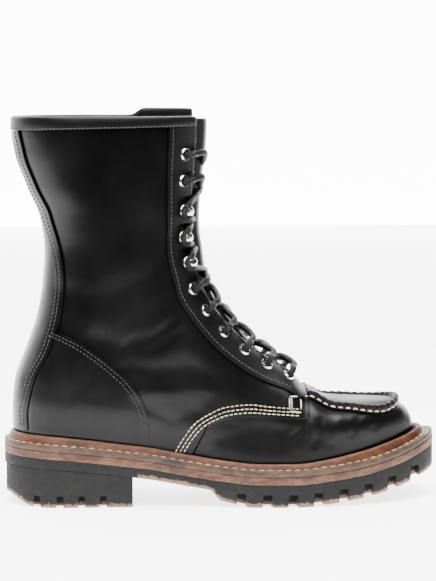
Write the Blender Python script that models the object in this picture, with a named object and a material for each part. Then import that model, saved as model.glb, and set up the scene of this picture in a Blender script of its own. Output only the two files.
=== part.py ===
"""Tall lace-up boot with a moccasin toe, right foot, as its separate pieces.

Sizes are millimetres until a mesh is made. X runs from heel to toe, Y from the
outer (lateral) side at minus to the inner (medial) side at plus, Z is up.
The upper's form is a fan of sections: each one starts on the feather line or on
the back line, and ends on the top line of the toe or on the front of the shaft.
"""

import math
from functools import lru_cache

import bmesh
import bpy
import numpy as np

MM = 0.001
GAP = 0.3  # between pieces that touch

# The last and the shaft
LENGTH = 308.0  # outsole, heel to toe
BALL_WIDTH = 104.0  # outsole across the ball
SHAFT_TOP = 271.0  # floor to the collar
TOE_TOP = 80.0  # floor to the base of the throat
SHAFT_WIDTH = 78.0  # across the collar
NOSE_ROUND = 40.0  # rounding of a section at its front
BACK_ROUND = 46.0  # rounding of a section at its back
WALL = 2.4  # upper leather with its lining
THROAT_GAP = 36.0  # between the two lacing edges
LAP_STEP = 1.2  # height of the quarter's edge above the vamp

# The sole
HEEL_HEIGHT = 35.0  # rubber under the heel
TREAD = 15.4  # rubber under the ball
TOE_SPRING = 21.0
RUBBER_FLOOR = 6.6  # rubber between the lugs and the midsole
MIDSOLE = 5.2
WELT = 4.6
RIB = 3.8  # storm rib that stands up against the upper
RIB_WIDTH = 3.0
RIB_GAP = 0.9  # the rib's inner face from the upper's edge
WELT_OUT = 9.0  # how far the welt stands out past the upper
WELT_IN = 7.0  # how far it reaches in under the upper
TOE_OFFSET = 6.0  # the tip lies this far to the inner side
HEEL_ROUND = 44.0
TOE_ROUND_OUTER = 92.0
TOE_ROUND_INNER = 70.0
LUG_PITCH = 18.0
LUG_NOTCH = 7.0
NOTCH_REACH = 13.0
HEEL_BREAST = 89.0  # length of the heel block
HEEL_NOTCH = 5.0

# Overlays, tongue and insole
OVERLAY = 1.4
EYESTAY_WIDTH = 24.0
BACKSTAY_REACH = 15.0
COLLAR_BAND = 8.5
COLLAR_BAND_THICKNESS = 1.8
EDGE_TRIM = 0.8  # overlays stop this far from the lacing edge
RIB_CLEARANCE = 1.2
OVERLAP_GAP = 1.0  # counter to backstay
TONGUE_HALF = 34.0
TONGUE = 3.0
TONGUE_GAP = 1.0
TONGUE_CROWN = 1.4  # how far its middle stands out between the lacing edges
INSOLE = 3.5
INSOLE_GAP = 1.0
APRON_HALF = 28.5
APRON_THICKNESS = 1.6
APRON_END = 280.5  # heel to the front of the plug
APRON_ROUND = 34.0
APRON_GAP = 0.9
MOC_RIDGE_HEIGHT = 4.6
MOC_RIDGE_WIDTH = 3.6

# Lacing
EYELET_INSET = 10.5  # from the lacing edge to the middle of an eyelet
HOOK_INSET = 8.5
EYELET_OUTER = 9.5
EYELET_HOLE = 5.2
EYELET_FLANGE = 1.1
EYELET_WALL = 0.5
STUD_GAP = 0.7  # eyelet or hook to the eyestay
HOOK_BASE = 9.6
HOOK_HEAD = 6.8
HOOK_HEIGHT = 4.6
LACE = 4.6
LACE_GAP = 0.8  # lace to eyestay
LACE_INSET = 1.5  # ends of its crossings, from the lacing edge
LACE_BOW = 3.4  # rise of a crossing over the tongue
LACE_SIDES = 4
STUD_SIDES = 6

# Columns of the sole: place along the length, half widths of the outline on the
# outer and inner side as shares of half the ball width, heel rise and toe spring
# as shares of theirs, rib height and welt width as shares of theirs.
SOLE_COLUMNS = ("place", "outer", "inner", "rise", "spring", "rib", "out")
SOLE_ROWS = (
    (0.00, 0.76, 0.76, 1.00, 0.00, 1.45, 0.90),
    (0.09, 0.76, 0.76, 0.94, 0.00, 1.45, 0.88),
    (0.17, 0.76, 0.74, 0.84, 0.00, 1.35, 0.90),
    (0.25, 0.76, 0.72, 0.69, 0.00, 1.25, 0.95),
    (0.33, 0.77, 0.68, 0.53, 0.00, 1.20, 1.00),
    (0.42, 0.81, 0.65, 0.28, 0.00, 1.15, 1.00),
    (0.50, 0.89, 0.67, 0.10, 0.00, 1.08, 1.00),
    (0.58, 0.97, 0.78, 0.00, 0.00, 1.00, 1.00),
    (0.66, 1.02, 0.90, 0.00, 0.00, 1.00, 1.03),
    (0.73, 1.03, 0.98, 0.00, 0.09, 1.15, 1.08),
    (0.82, 1.02, 1.00, 0.00, 0.26, 1.55, 1.16),
    (0.90, 1.00, 1.00, 0.00, 0.52, 1.70, 1.25),
    (0.96, 1.00, 1.00, 0.00, 0.82, 1.55, 1.32),
    (1.00, 1.00, 1.00, 0.00, 1.05, 1.45, 1.36),
)

# Columns of a section. low: where it starts along the feather line, from heel to
# toe. back: height of its start up the back line. back_x: the back line's place
# along the outsole. front_x: its end along the outsole. toe and leg: height of its
# end up to the throat base, and from there to the collar. swell: body width as a
# share of the feather's. outer and inner: body width as a share of the shaft's.
# nose and power: size and squareness of the front rounding. gap: lacing gap.
# stay: reach of the backstay from the back line.
FORM_COLUMNS = (
    "low", "back", "back_x", "front_x", "toe", "leg",
    "swell", "outer", "inner", "nose", "power", "gap", "stay",
)
FORM_ROWS = (
    (0.998, 0.000, 0.031, 0.9568, 0.17, 0.000, 1.02, 0.00, 0.00, 0.55, 2.5, 0.0, 0.70),
    (0.989, 0.000, 0.031, 0.9490, 0.42, 0.000, 1.02, 0.00, 0.00, 0.55, 2.5, 0.0, 0.70),
    (0.975, 0.000, 0.031, 0.9355, 0.60, 0.000, 1.02, 0.00, 0.00, 0.55, 2.6, 0.0, 0.70),
    (0.950, 0.000, 0.031, 0.9130, 0.71, 0.000, 1.02, 0.00, 0.00, 0.55, 2.8, 0.0, 0.70),
    (0.905, 0.000, 0.031, 0.8700, 0.74, 0.000, 1.02, 0.00, 0.00, 0.56, 3.0, 0.0, 0.70),
    (0.840, 0.000, 0.031, 0.8100, 0.77, 0.000, 1.02, 0.00, 0.00, 0.58, 3.0, 0.0, 0.70),
    (0.770, 0.000, 0.031, 0.7460, 0.82, 0.000, 1.01, 0.00, 0.00, 0.66, 2.8, 0.0, 0.70),
    (0.705, 0.000, 0.031, 0.6960, 0.97, 0.000, 0.98, 0.00, 0.02, 0.82, 2.5, 0.6, 0.70),
    (0.625, 0.000, 0.031, 0.6540, 1.00, 0.060, 0.86, 0.10, 0.16, 0.96, 2.3, 0.6, 0.70),
    (0.525, 0.000, 0.031, 0.6050, 1.00, 0.115, 0.66, 0.31, 0.38, 1.00, 2.2, 0.66, 0.70),
    (0.415, 0.000, 0.031, 0.5540, 1.00, 0.185, 0.44, 0.55, 0.60, 1.00, 2.1, 0.74, 0.70),
    (0.290, 0.000, 0.031, 0.5070, 1.00, 0.271, 0.22, 0.74, 0.74, 1.00, 2.0, 0.82, 0.70),
    (0.165, 0.000, 0.031, 0.4750, 1.00, 0.351, 0.08, 0.85, 0.84, 1.00, 2.0, 0.9, 0.70),
    (0.070, 0.000, 0.031, 0.4615, 1.00, 0.410, 0.00, 0.89, 0.88, 1.10, 2.0, 0.95, 0.70),
    (0.020, 0.000, 0.031, 0.4555, 1.00, 0.460, 0.00, 0.88, 0.88, 1.20, 2.0, 1.0, 0.70),
    (0.000, 0.000, 0.031, 0.4535, 1.00, 0.487, 0.00, 0.88, 0.88, 1.25, 2.0, 1.0, 0.70),
    (0.000, 0.080, 0.029, 0.4505, 1.00, 0.525, 0.00, 0.88, 0.88, 1.30, 2.0, 1.0, 0.63),
    (0.000, 0.180, 0.035, 0.4455, 1.00, 0.578, 0.00, 0.88, 0.88, 1.35, 2.0, 1.0, 0.80),
    (0.000, 0.285, 0.062, 0.4440, 1.00, 0.634, 0.00, 0.89, 0.89, 1.40, 2.0, 1.0, 1.02),
    (0.000, 0.385, 0.087, 0.4450, 1.00, 0.686, 0.00, 0.91, 0.91, 1.40, 2.0, 1.0, 0.97),
    (0.000, 0.490, 0.100, 0.4475, 1.00, 0.742, 0.00, 0.93, 0.93, 1.45, 2.0, 1.0, 0.90),
    (0.000, 0.590, 0.105, 0.4515, 1.00, 0.795, 0.00, 0.95, 0.95, 1.50, 2.0, 1.0, 0.65),
    (0.000, 0.695, 0.095, 0.4560, 1.00, 0.848, 0.00, 0.97, 0.97, 1.55, 2.0, 1.0, 0.42),
    (0.000, 0.790, 0.065, 0.4595, 1.00, 0.893, 0.00, 0.99, 0.99, 1.60, 2.0, 1.0, 0.38),
    (0.000, 0.890, 0.038, 0.4612, 1.00, 0.940, 0.00, 1.00, 1.00, 1.60, 2.0, 1.0, 0.38),
    (0.000, 0.960, 0.031, 0.4617, 1.00, 0.970, 0.00, 1.00, 1.00, 1.60, 2.0, 1.0, 0.30),
    (0.000, 1.000, 0.030, 0.4617, 1.00, 1.000, 0.00, 1.00, 1.00, 1.60, 2.0, 1.0, 0.26),
)

# Height of the quarter's edge above the welt, along the outsole, as shares
QUARTER_EDGE = (
    (0.420, 0.12), (0.435, 0.32), (0.455, 0.47), (0.479, 0.58), (0.516, 0.68),
    (0.556, 0.73), (0.597, 0.73), (0.638, 0.71), (0.675, 0.69), (0.705, 0.69),
)
# Height of the counter's seam above the welt, along the outsole, as shares
COUNTER_SEAM = (
    (0.05, 1.62), (0.12, 1.56), (0.165, 1.47), (0.205, 1.34),
    (0.262, 1.10), (0.297, 0.90), (0.315, 0.72), (0.326, 0.55),
)
COUNTER_END = 0.331
EDGE_RISE = 50.0  # the height that both tables are shares of

# Height of each pair of lacing holes from the throat base to the collar
LACING_ROWS = (
    (0.042, "eyelet"), (0.086, "eyelet"), (0.143, "eyelet"), (0.212, "eyelet"),
    (0.293, "eyelet"), (0.374, "eyelet"), (0.470, "hook"), (0.564, "hook"),
    (0.661, "hook"), (0.771, "eyelet"), (0.868, "eyelet"),
)
HEEL_NOTCHES = (0.25, 0.43, 0.60, 0.77)
CUT_REACH = 80.0  # how far a cutting shape reaches across in Y
CUT_BACK = -20.0  # and behind the heel

OUTER, INNER = -1, 1
LAST_ROW = len(FORM_ROWS) - 1
HEEL_ROW = 15  # the first section that starts on the back line
THROAT_ROW = 7.0  # the last section that is closed at the top


@lru_cache(maxsize=None)
def column(rows, names, name):
    return np.array([row[names.index(name)] for row in rows])


def smooth(xs, ys, x):
    """A smooth curve through the rows that never overshoots them."""
    xs, ys = np.asarray(xs, float), np.asarray(ys, float)
    x = np.clip(x, xs[0], xs[-1])
    step, slope = np.diff(xs), np.diff(ys) / np.diff(xs)
    tangent = np.zeros(len(xs))
    same = slope[:-1] * slope[1:] > 0
    first, second = slope[:-1][same], slope[1:][same]
    tangent[1:-1][same] = 2 * first * second / (first + second)
    tangent[0], tangent[-1] = slope[0], slope[-1]
    i = np.clip(np.searchsorted(xs, x, side="right") - 1, 0, len(xs) - 2)
    t = (x - xs[i]) / step[i]
    return (
        ys[i] * (1 + 2 * t) * (1 - t) ** 2
        + tangent[i] * step[i] * t * (1 - t) ** 2
        + ys[i + 1] * t**2 * (3 - 2 * t)
        - tangent[i + 1] * step[i] * t**2 * (1 - t)
    )


def rounded(distance, power=2.0):
    """0 at an end and 1 from a distance of 1 on, along a quarter of an ellipse."""
    d = np.clip(distance, 0, 1)
    return (1 - (1 - d) ** power) ** (1 / power)


def blend(t):
    t = np.clip(t, 0, 1)
    return t * t * (3 - 2 * t)


# The sole's lines along X, where 0 is the back of the outsole
def sole(name, x):
    return smooth(
        column(SOLE_ROWS, SOLE_COLUMNS, "place") * LENGTH,
        column(SOLE_ROWS, SOLE_COLUMNS, name),
        x,
    )


def centre_y(x):
    return TOE_OFFSET * blend((x / LENGTH - 0.55) / 0.45)


def rubber_top(x):
    heel = sole("rise", x) * (HEEL_HEIGHT - TREAD)
    return TREAD + heel + sole("spring", x) * TOE_SPRING


def midsole_top(x):
    return rubber_top(x) + GAP + MIDSOLE


def welt_top(x):
    return midsole_top(x) + GAP + WELT


def rib_height(x):
    return RIB * sole("rib", x)


def seat(x):
    """Where the upper stands on the welt."""
    return welt_top(x) + GAP


def sole_half(x, side):
    toe_round = TOE_ROUND_OUTER if side == OUTER else TOE_ROUND_INNER
    half = sole("outer" if side == OUTER else "inner", x) * BALL_WIDTH / 2
    return half * rounded(x / HEEL_ROUND) * rounded((LENGTH - x) / toe_round)


def sole_outline(steps):
    """The outsole's edge: up the outer side to the toe, and back on the inner side."""
    x = LENGTH * (1 - np.cos(np.linspace(0, math.pi, steps + 1))) / 2
    outer = np.c_[x, centre_y(x) - sole_half(x, OUTER)]
    inner = np.c_[x, centre_y(x) + sole_half(x, INNER)]
    return np.r_[outer, inner[-2:0:-1]]


@lru_cache(maxsize=None)
def sole_middle():
    """Middle of the outsole's length and width."""
    outline = sole_outline(240)
    return (outline.min(axis=0) + outline.max(axis=0)) / 2


def edge_normals(points):
    along = np.roll(points, -1, 0) - np.roll(points, 1, 0)
    out = np.c_[along[:, 1], -along[:, 0]]
    return out / np.linalg.norm(out, axis=1)[:, None]


@lru_cache(maxsize=None)
def feather_outline(inset=0.0):
    """The foot's edge on the welt, a welt's width inside the outsole's, or a line
    further in."""
    outline = sole_outline(240)
    width = WELT_OUT * sole("out", outline[:, 0]) + inset
    return outline - edge_normals(outline) * width[:, None]


def resampled(points, count):
    """A closed line again, with its points an equal distance apart."""
    closed = np.r_[points, points[:1]]
    run = np.r_[0, np.cumsum(np.linalg.norm(np.diff(closed, axis=0), axis=1))]
    at = np.linspace(0, run[-1], count, endpoint=False)
    return np.c_[tuple(np.interp(at, run, closed[:, k]) for k in range(closed.shape[1]))]


@lru_cache(maxsize=None)
def feather_ends(inset=0.0):
    x = feather_outline(inset)[:, 0]
    return float(x.min()), float(x.max())


@lru_cache(maxsize=None)
def feather_side(side, inset=0.0):
    points = feather_outline(inset)
    middle = centre_y(points[:, 0])
    kept = points[(points[:, 1] - middle) * side > 0]
    kept = kept[np.argsort(kept[:, 0])]
    heel, toe = feather_ends(inset)
    x = np.r_[heel, kept[:, 0], toe]
    half = np.r_[0, np.abs(kept[:, 1] - centre_y(kept[:, 0])), 0]
    return x, half


def feather_half(x, side, inset=0.0):
    return np.interp(x, *feather_side(side, inset), left=0, right=0)


# The form of the upper
@lru_cache(maxsize=None)
def form(name, s):
    rows = column(FORM_ROWS, FORM_COLUMNS, name)
    return float(smooth(np.arange(len(rows)), rows, s))


def back_height(share):
    heel_seat = seat(feather_ends()[0])
    return heel_seat + share * (SHAFT_TOP - heel_seat)


@lru_cache(maxsize=None)
def section_ends(s):
    """Side-view points where section s starts and ends."""
    heel, toe = feather_ends()
    if s <= HEEL_ROW:
        x = heel + form("low", s) * (toe - heel)
        start = np.array([x, float(seat(x))])
    else:
        x = heel + (form("back_x", s) - form("back_x", HEEL_ROW)) * LENGTH
        start = np.array([x, float(back_height(form("back", s)))])
    if s <= THROAT_ROW:
        x = min(form("front_x", s) * LENGTH, toe - 0.3)
    else:
        x = form("front_x", s) * LENGTH
    foot = float(seat(x))
    z = foot + form("toe", s) * (TOE_TOP - foot) + form("leg", s) * (SHAFT_TOP - TOE_TOP)
    return start, np.array([x, z])


@lru_cache(maxsize=None)
def back_line():
    s = np.linspace(HEEL_ROW, LAST_ROW, 80)
    points = np.array([section_ends(v)[0] for v in s])
    return points[:, 1], points[:, 0]


@lru_cache(maxsize=None)
def half_section(s, side, laced=True):
    """Points of one side of a section, with the run from its start to each."""
    start, end = section_ends(s)
    size = np.linalg.norm(end - start)
    r = (1 - np.cos(np.linspace(0, math.pi, 161))) / 2
    x = start[0] + (end[0] - start[0]) * r
    z = start[1] + (end[1] - start[1]) * r
    body = form("outer" if side == OUTER else "inner", s) * SHAFT_WIDTH / 2
    body += form("swell", s) * feather_half(start[0], side)
    nose = min(form("nose", s) * NOSE_ROUND, 0.95 * size)
    front = rounded((1 - r) * size / nose, form("power", s))
    high = blend((z - 60) / 150)
    back = rounded((x - np.interp(z, *back_line())) / (BACK_ROUND * (0.8 + 0.2 * high)))
    above = z - seat(x) - rib_height(x) - 0.5
    share = blend(above / 26)
    half = (1 - share) * feather_half(x, side) * front + share * body * back * front
    if s >= HEEL_ROW:
        half[0] = 0
    half[-1] = 0
    points = np.c_[x, centre_y(x) + side * half, z]
    if laced and s > THROAT_ROW:
        gap = form("gap", s) * THROAT_GAP / 2
        last = np.nonzero(half >= gap)[0][-1]
        t = (half[last] - gap) / (half[last] - half[last + 1])
        edge = points[last] + t * (points[last + 1] - points[last])
        points = np.r_[points[: last + 1], edge[None]]
    run = np.r_[0, np.cumsum(np.linalg.norm(np.diff(points, axis=0), axis=1))]
    return points, run


def length_of(s, side, laced=True):
    return half_section(s, side, laced)[1][-1]


def bare_point(s, side, a, laced=True):
    """The point at a run of a along a section, past either end on the other side."""
    size = length_of(s, side, laced)
    if a < 0 and s >= HEEL_ROW:
        side, a = -side, -a
    elif a > size and not (laced and s > THROAT_ROW):
        side, a = -side, length_of(s, -side, laced) - (a - size)
    points, run = half_section(s, side, laced)
    return np.array([np.interp(a, run, points[:, k]) for k in range(3)])


def surface(s, side, a, out=0.0, laced=True):
    """A point of the form, moved outwards from it."""
    here = bare_point(s, side, a, laced)
    if not out:
        return here
    size = length_of(s, side, laced)
    low = a - 1.0 if s >= HEEL_ROW or a > 1 else a
    closed = not (laced and s > THROAT_ROW)
    high = a + 1.0 if closed or a < size - 1 else a
    around = (bare_point(s, side, high, laced) - bare_point(s, side, low, laced)) * side
    share = a / size
    lower, upper = max(0.0, s - 0.08), min(float(LAST_ROW), s + 0.08)
    if lower <= THROAT_ROW < s:
        lower = s
    if upper > THROAT_ROW >= s:
        upper = s
    along = bare_point(upper, side, share * length_of(upper, side, laced), laced)
    along = along - bare_point(lower, side, share * length_of(lower, side, laced), laced)
    normal = np.cross(along, around)
    normal /= np.linalg.norm(normal)
    return here + normal * out


def run_where(s, side, test, laced=True):
    """The run at which test(points) first turns from true to false."""
    points, run = half_section(s, side, laced)
    value = test(points)
    past = np.nonzero(value <= 0)[0]
    if len(past) == 0:
        return run[-1]
    i = past[0]
    if i == 0:
        return 0.0
    t = value[i - 1] / (value[i - 1] - value[i])
    return run[i - 1] + t * (run[i] - run[i - 1])


def edge_height(table, x):
    places = np.array([row[0] for row in table]) * LENGTH
    return smooth(places, np.array([row[1] for row in table]) * EDGE_RISE, x)


def under_edge(table):
    return lambda points: (
        seat(points[:, 0]) + edge_height(table, points[:, 0]) - points[:, 2]
    )


def section_at_low(share):
    """The section whose start lies at this share of the outsole's length."""
    heel, toe = feather_ends()
    low = (share * LENGTH - heel) / (toe - heel)
    rows = column(FORM_ROWS, FORM_COLUMNS, "low")[: HEEL_ROW + 1]
    s = np.linspace(0, HEEL_ROW, 1501)
    return float(s[np.argmin(np.abs(smooth(np.arange(len(rows)), rows, s) - low))])


QUARTER_REAR = section_at_low(QUARTER_EDGE[0][0])


# Making objects
def material(name, colour, roughness, metallic=0.0):
    made = bpy.data.materials.new(name)
    made.use_nodes = True
    shader = made.node_tree.nodes["Principled BSDF"]
    shader.inputs["Base Color"].default_value = (*colour, 1)
    shader.inputs["Roughness"].default_value = roughness
    shader.inputs["Metallic"].default_value = metallic
    return made


def add_object(name, points, faces, finish, parent=None):
    """Millimetre points and faces as one object, with the outsole's middle at the
    origin."""
    points = np.array(points, float) - np.r_[sole_middle(), 0]
    mesh = bpy.data.meshes.new(name)
    mesh.from_pydata([tuple(p) for p in points * MM], [], faces)
    edit = bmesh.new()
    edit.from_mesh(mesh)
    bmesh.ops.recalc_face_normals(edit, faces=edit.faces)
    edit.to_mesh(mesh)
    edit.free()
    mesh.materials.append(finish)
    mesh.shade_smooth()
    mesh.set_sharp_from_angle(angle=math.radians(40))
    made = bpy.data.objects.new(name, mesh)
    bpy.context.collection.objects.link(made)
    made.parent = parent
    return made


def sheet(name, sides, sections, columns, out, thickness, finish, parent, laced=True):
    """A wall on the form. columns(s, side) gives the runs of its points there, and
    out(s, side, k) how far point k lies from the form. The wall's other face lies
    thickness further out, or further in where that is negative."""
    index, points, faces = {}, [], []
    bare = lambda s, side, run: bare_point(s, side, run, laced)

    def vertex(i, side, k, runs, offset, level):
        s = sections[i]
        shared_top = k == len(runs) - 1 and (s <= THROAT_ROW or not laced)
        shared_top = shared_top and runs[k] >= length_of(s, side, laced) - 1e-6
        shared_low = k == 0 and runs[k] <= 0 and s >= HEEL_ROW
        both = (shared_top or shared_low) and len(sides) > 1
        key = (i, 0 if both else side, k, level)
        if key not in index:
            index[key] = len(points)
            point = surface(s, side, runs[k], offset, laced)
            if both:
                other = length_of(s, -side, laced) if shared_top else 0.0
                point = (point + surface(s, -side, other, offset, laced)) / 2
            points.append(point)
        return index[key]

    for side in sides:
        grid, form_grid = {}, {}
        for i, s in enumerate(sections):
            runs = columns(s, side)
            for k in range(len(runs)):
                form_grid[i, k] = bare(s, side, runs[k])
                base = out(s, side, k)
                for level, offset in enumerate((base, base + thickness)):
                    grid[i, k, level] = vertex(i, side, k, runs, offset, level)
        count = len(columns(sections[0], side))
        for level in (0, 1):
            for i in range(len(sections) - 1):
                for k in range(count - 1):
                    ring = [(i, k), (i + 1, k), (i + 1, k + 1), (i, k + 1)]
                    spans = [form_grid[ring[n]] - form_grid[ring[n + 2]] for n in (0, 1)]
                    turn = int(np.linalg.norm(spans[1]) < np.linalg.norm(spans[0]))
                    a, b, c, d = [grid[(*ring[(n + turn) % 4], level)] for n in range(4)]
                    faces += [(a, b, c), (a, c, d)]
        rims = [[(i, 0) for i in range(len(sections))]]
        rims.append([(i, count - 1) for i in range(len(sections))])
        rims.append([(0, k) for k in range(count)])
        rims.append([(len(sections) - 1, k) for k in range(count)])
        for rim in rims:
            for (i, k), (j, m) in zip(rim, rim[1:]):
                corners = (grid[i, k, 0], grid[j, m, 0], grid[j, m, 1], grid[i, k, 1])
                faces.append(corners)
    faces = joined_rims(faces)
    return add_object(name, points, faces, finish, parent)


def joined_rims(faces):
    """Drops rims that two sides share, and the repeated corners of a face."""
    count = {}
    for face in faces:
        key = tuple(sorted(set(face)))
        count[key] = count.get(key, 0) + 1
    kept = []
    for face in faces:
        corners = [c for n, c in enumerate(face) if c != face[n - 1]]
        if len(set(corners)) < 3 or count[tuple(sorted(set(face)))] > 1:
            continue
        kept.append(tuple(corners))
    return kept


def slab(name, low, high, half, places, finish, parent):
    """A plate between two heights, with its outline from two half widths."""
    points, faces = [], []
    for x in places:
        middle = centre_y(x)
        outer, inner = middle - half(x, OUTER), middle + half(x, INNER)
        for y, z in ((outer, low(x)), (inner, low(x)), (inner, high(x)), (outer, high(x))):
            points.append((x, float(y), float(z)))
    for i in range(len(places) - 1):
        for k in range(4):
            n = (k + 1) % 4
            faces.append((4 * i + k, 4 * i + n, 4 * i + 4 + n, 4 * i + 4 + k))
    faces += [(0, 1, 2, 3), tuple(len(points) - 4 + k for k in range(4))]
    return add_object(name, points, faces, finish, parent)


def swept_ring(name, outline, profile, finish, parent):
    """A profile of (outwards, height) points carried round a closed outline, where
    outwards depends on the outline's point and height on the corner's own place."""
    points, faces = [], []
    count = len(profile)
    for (x, y), (nx, ny) in zip(outline, edge_normals(outline)):
        for outwards, height in profile:
            d = float(outwards(x))
            points.append((x + nx * d, y + ny * d, float(height(x + nx * d))))
    for i in range(len(outline)):
        j = (i + 1) % len(outline)
        for k in range(count):
            n = (k + 1) % count
            faces.append((i * count + k, i * count + n, j * count + n, j * count + k))
    return add_object(name, points, faces, finish, parent)


def stations(first, last, count, ends=1.0):
    """Places along X, closer together near both ends."""
    t = np.linspace(0, 1, count)
    eased = (1 - np.cos(math.pi * t)) / 2
    t = ends * eased + (1 - ends) * t
    return first + (last - first) * t


def cut(target, cutters):
    for cutter in cutters:
        cutter.hide_render = True
        cutter.display_type = "WIRE"
        made = target.modifiers.new("Cut", "BOOLEAN")
        made.operation = "DIFFERENCE"
        made.solver = "EXACT"
        made.object = cutter


# The upper and what lies on it
@lru_cache(maxsize=None)
def band_section():
    """The section where the collar band ends."""
    share = 1 - COLLAR_BAND / (SHAFT_TOP - back_height(0))
    rows = column(FORM_ROWS, FORM_COLUMNS, "back")[HEEL_ROW:]
    s = np.linspace(0, len(rows) - 1, 1201)
    back = smooth(np.arange(len(rows)), rows, s)
    return HEEL_ROW + float(s[np.argmin(np.abs(back - share))])


@lru_cache(maxsize=None)
def upper_sections():
    toe = [*np.linspace(0, 3, 5), *np.linspace(3.8, THROAT_ROW, 5)]
    throat = [THROAT_ROW + d for d in (0.03, 0.3, 0.7, 1.4, 2.2)]
    seam = [QUARTER_REAR - 0.02, QUARTER_REAR + 0.02]
    waist = list(np.linspace(QUARTER_REAR + 0.8, HEEL_ROW - 0.5, 6))
    heel = list(np.linspace(HEEL_ROW, HEEL_ROW + 4, 6))
    shaft = list(np.linspace(HEEL_ROW + 5, band_section() - 1.1, 5))
    top = [band_section(), float(LAST_ROW)]
    return tuple(float(s) for s in toe + throat + seam + waist + heel + shaft + top)


def stay_run(s, side):
    """The run to the backstay's front edge."""
    reach = form("stay", s) * BACKSTAY_REACH
    return run_where(s, side, lambda p: np.interp(p[:, 2], *back_line()) + reach - p[:, 0])


VAMP_COLUMNS = 4
QUARTER_COLUMNS = 3
EYESTAY_COLUMNS = 3


def lower_run(s, side):
    """The run up to the quarter's edge, and behind it to a middle column."""
    inside = min(max(s, THROAT_ROW), QUARTER_REAR - 0.02)
    size = length_of(inside, side)
    edge = run_where(inside, side, under_edge(QUARTER_EDGE))
    share = min(max(edge / size, 0.2), 0.8)
    return share * length_of(s, side)


@lru_cache(maxsize=None)
def upper_runs(s, side):
    edge, size = lower_run(s, side), length_of(s, side)
    eyestay = max(size - EYESTAY_WIDTH, edge + 0.25 * (size - edge))
    low = np.linspace(0, edge, VAMP_COLUMNS + 1)
    middle = np.linspace(edge + 0.8, eyestay, QUARTER_COLUMNS + 1)
    high = np.linspace(eyestay, size, EYESTAY_COLUMNS + 1)[1:]
    return tuple(float(r) for r in (*low, *middle, *high))


def upper_out(s, side, k):
    if THROAT_ROW < s < QUARTER_REAR:
        return 0.0 if k > VAMP_COLUMNS else -LAP_STEP
    return -LAP_STEP if s <= THROAT_ROW else 0.0


def even(low, high, count):
    return list(np.linspace(low, high, count))


def lift(amount):
    return lambda s, side, k: amount


def make_upper(finish, parent):
    return sheet("upper", (OUTER, INNER), upper_sections(), upper_runs,
                 upper_out, -WALL, finish, parent)


def make_eyestay(side, finish, parent):
    first, last = THROAT_ROW + 0.2, band_section() - 0.1
    sections = [s for s in upper_sections() if first < s < last] + [last]

    def runs(s, _):
        own = upper_runs(s, side)[-1 - EYESTAY_COLUMNS:]
        return [*own[:-1], own[-1] - EDGE_TRIM]

    name = "eyestay_outer" if side == OUTER else "eyestay_inner"
    return sheet(name, (side,), sections, runs, lift(GAP), OVERLAY, finish, parent)


def make_collar_band(finish, parent):
    sections = [band_section(), float(LAST_ROW)]
    runs = lambda s, side: [*upper_runs(s, side)[:-1], length_of(s, side) - EDGE_TRIM]
    return sheet("collar_band", (OUTER, INNER), sections, runs,
                 lift(GAP), COLLAR_BAND_THICKNESS, finish, parent)


def overlay_form(name, sides, first, last, finish, parent):
    """A wall over the upper's own facets, from which an overlay is cut."""
    sections = [s for s in upper_sections() if first <= s <= last]
    return sheet(name, sides, sections, upper_runs, lift(GAP), OVERLAY, finish, parent)


def prism(name, outline, low, high, parent):
    """A side-view outline carried across in Y, for cutting."""
    points = [(x, y, z) for y in (low, high) for x, z in outline]
    count = len(outline)
    faces = [tuple(range(count)), tuple(count + k for k in range(count))]
    faces += [(k, (k + 1) % count, count + (k + 1) % count, count + k) for k in range(count)]
    return add_object(name, points, faces, bpy.data.materials[0], parent)


def stay_edge(margin, count=22):
    """Side-view points of the backstay's front edge, from the collar band down."""
    s = np.linspace(band_section() - 0.1, HEEL_ROW, count)
    ends = [section_ends(float(v))[0] for v in s]
    reach = [form("stay", float(v)) * BACKSTAY_REACH + margin for v in s]
    edge = [(p[0] + d, p[1]) for p, d in zip(ends, reach)]
    return [p for p in edge if p[1] > rib_edge([p[0]])[0][1] + 3]


def rib_edge(places):
    return [(x, float(seat(x) + rib_height(x)) + RIB_CLEARANCE) for x in places]


def make_backstay(finish, parent):
    made = overlay_form("backstay", (OUTER, INNER), HEEL_ROW - 1.6, band_section(),
                        finish, parent)
    edge = stay_edge(0.0)
    low = rib_edge(np.linspace(edge[-1][0], CUT_BACK, 6))
    outline = edge + low + [(CUT_BACK, edge[0][1])]
    shape = prism("backstay_shape", outline, -CUT_REACH, CUT_REACH, parent)
    keep(made, shape)
    return made


def make_counter(side, finish, parent):
    rear = section_at_low(COUNTER_END)
    name = "counter_outer" if side == OUTER else "counter_inner"
    made = overlay_form(name, (side,), rear - 1.2, HEEL_ROW + 6.5, finish, parent)
    places = np.linspace(COUNTER_SEAM[0][0], COUNTER_SEAM[-1][0], 14) * LENGTH
    seam = [(x, float(seat(x) + edge_height(COUNTER_SEAM, x))) for x in places]
    edge = [p for p in stay_edge(OVERLAP_GAP) if p[1] < seam[0][1] + 30]
    end = COUNTER_END * LENGTH
    low = rib_edge(np.linspace(end, edge[-1][0], 8))
    joint = [p for p in edge if p[1] < float(np.interp(p[0], *zip(*seam))) - 1]
    shape = [p for p in seam if p[0] > joint[0][0] + 0.5] + low + joint[::-1][1:]
    near, far = (-CUT_REACH, 0) if side == OUTER else (0, CUT_REACH)
    keep(made, prism(name + "_shape", shape, near, far, parent))
    return made


def keep(target, shape):
    """Keeps what lies inside the shape."""
    shape.hide_render = True
    shape.display_type = "WIRE"
    made = target.modifiers.new("Keep", "BOOLEAN")
    made.operation = "INTERSECT"
    made.solver = "EXACT"
    made.object = shape


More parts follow.
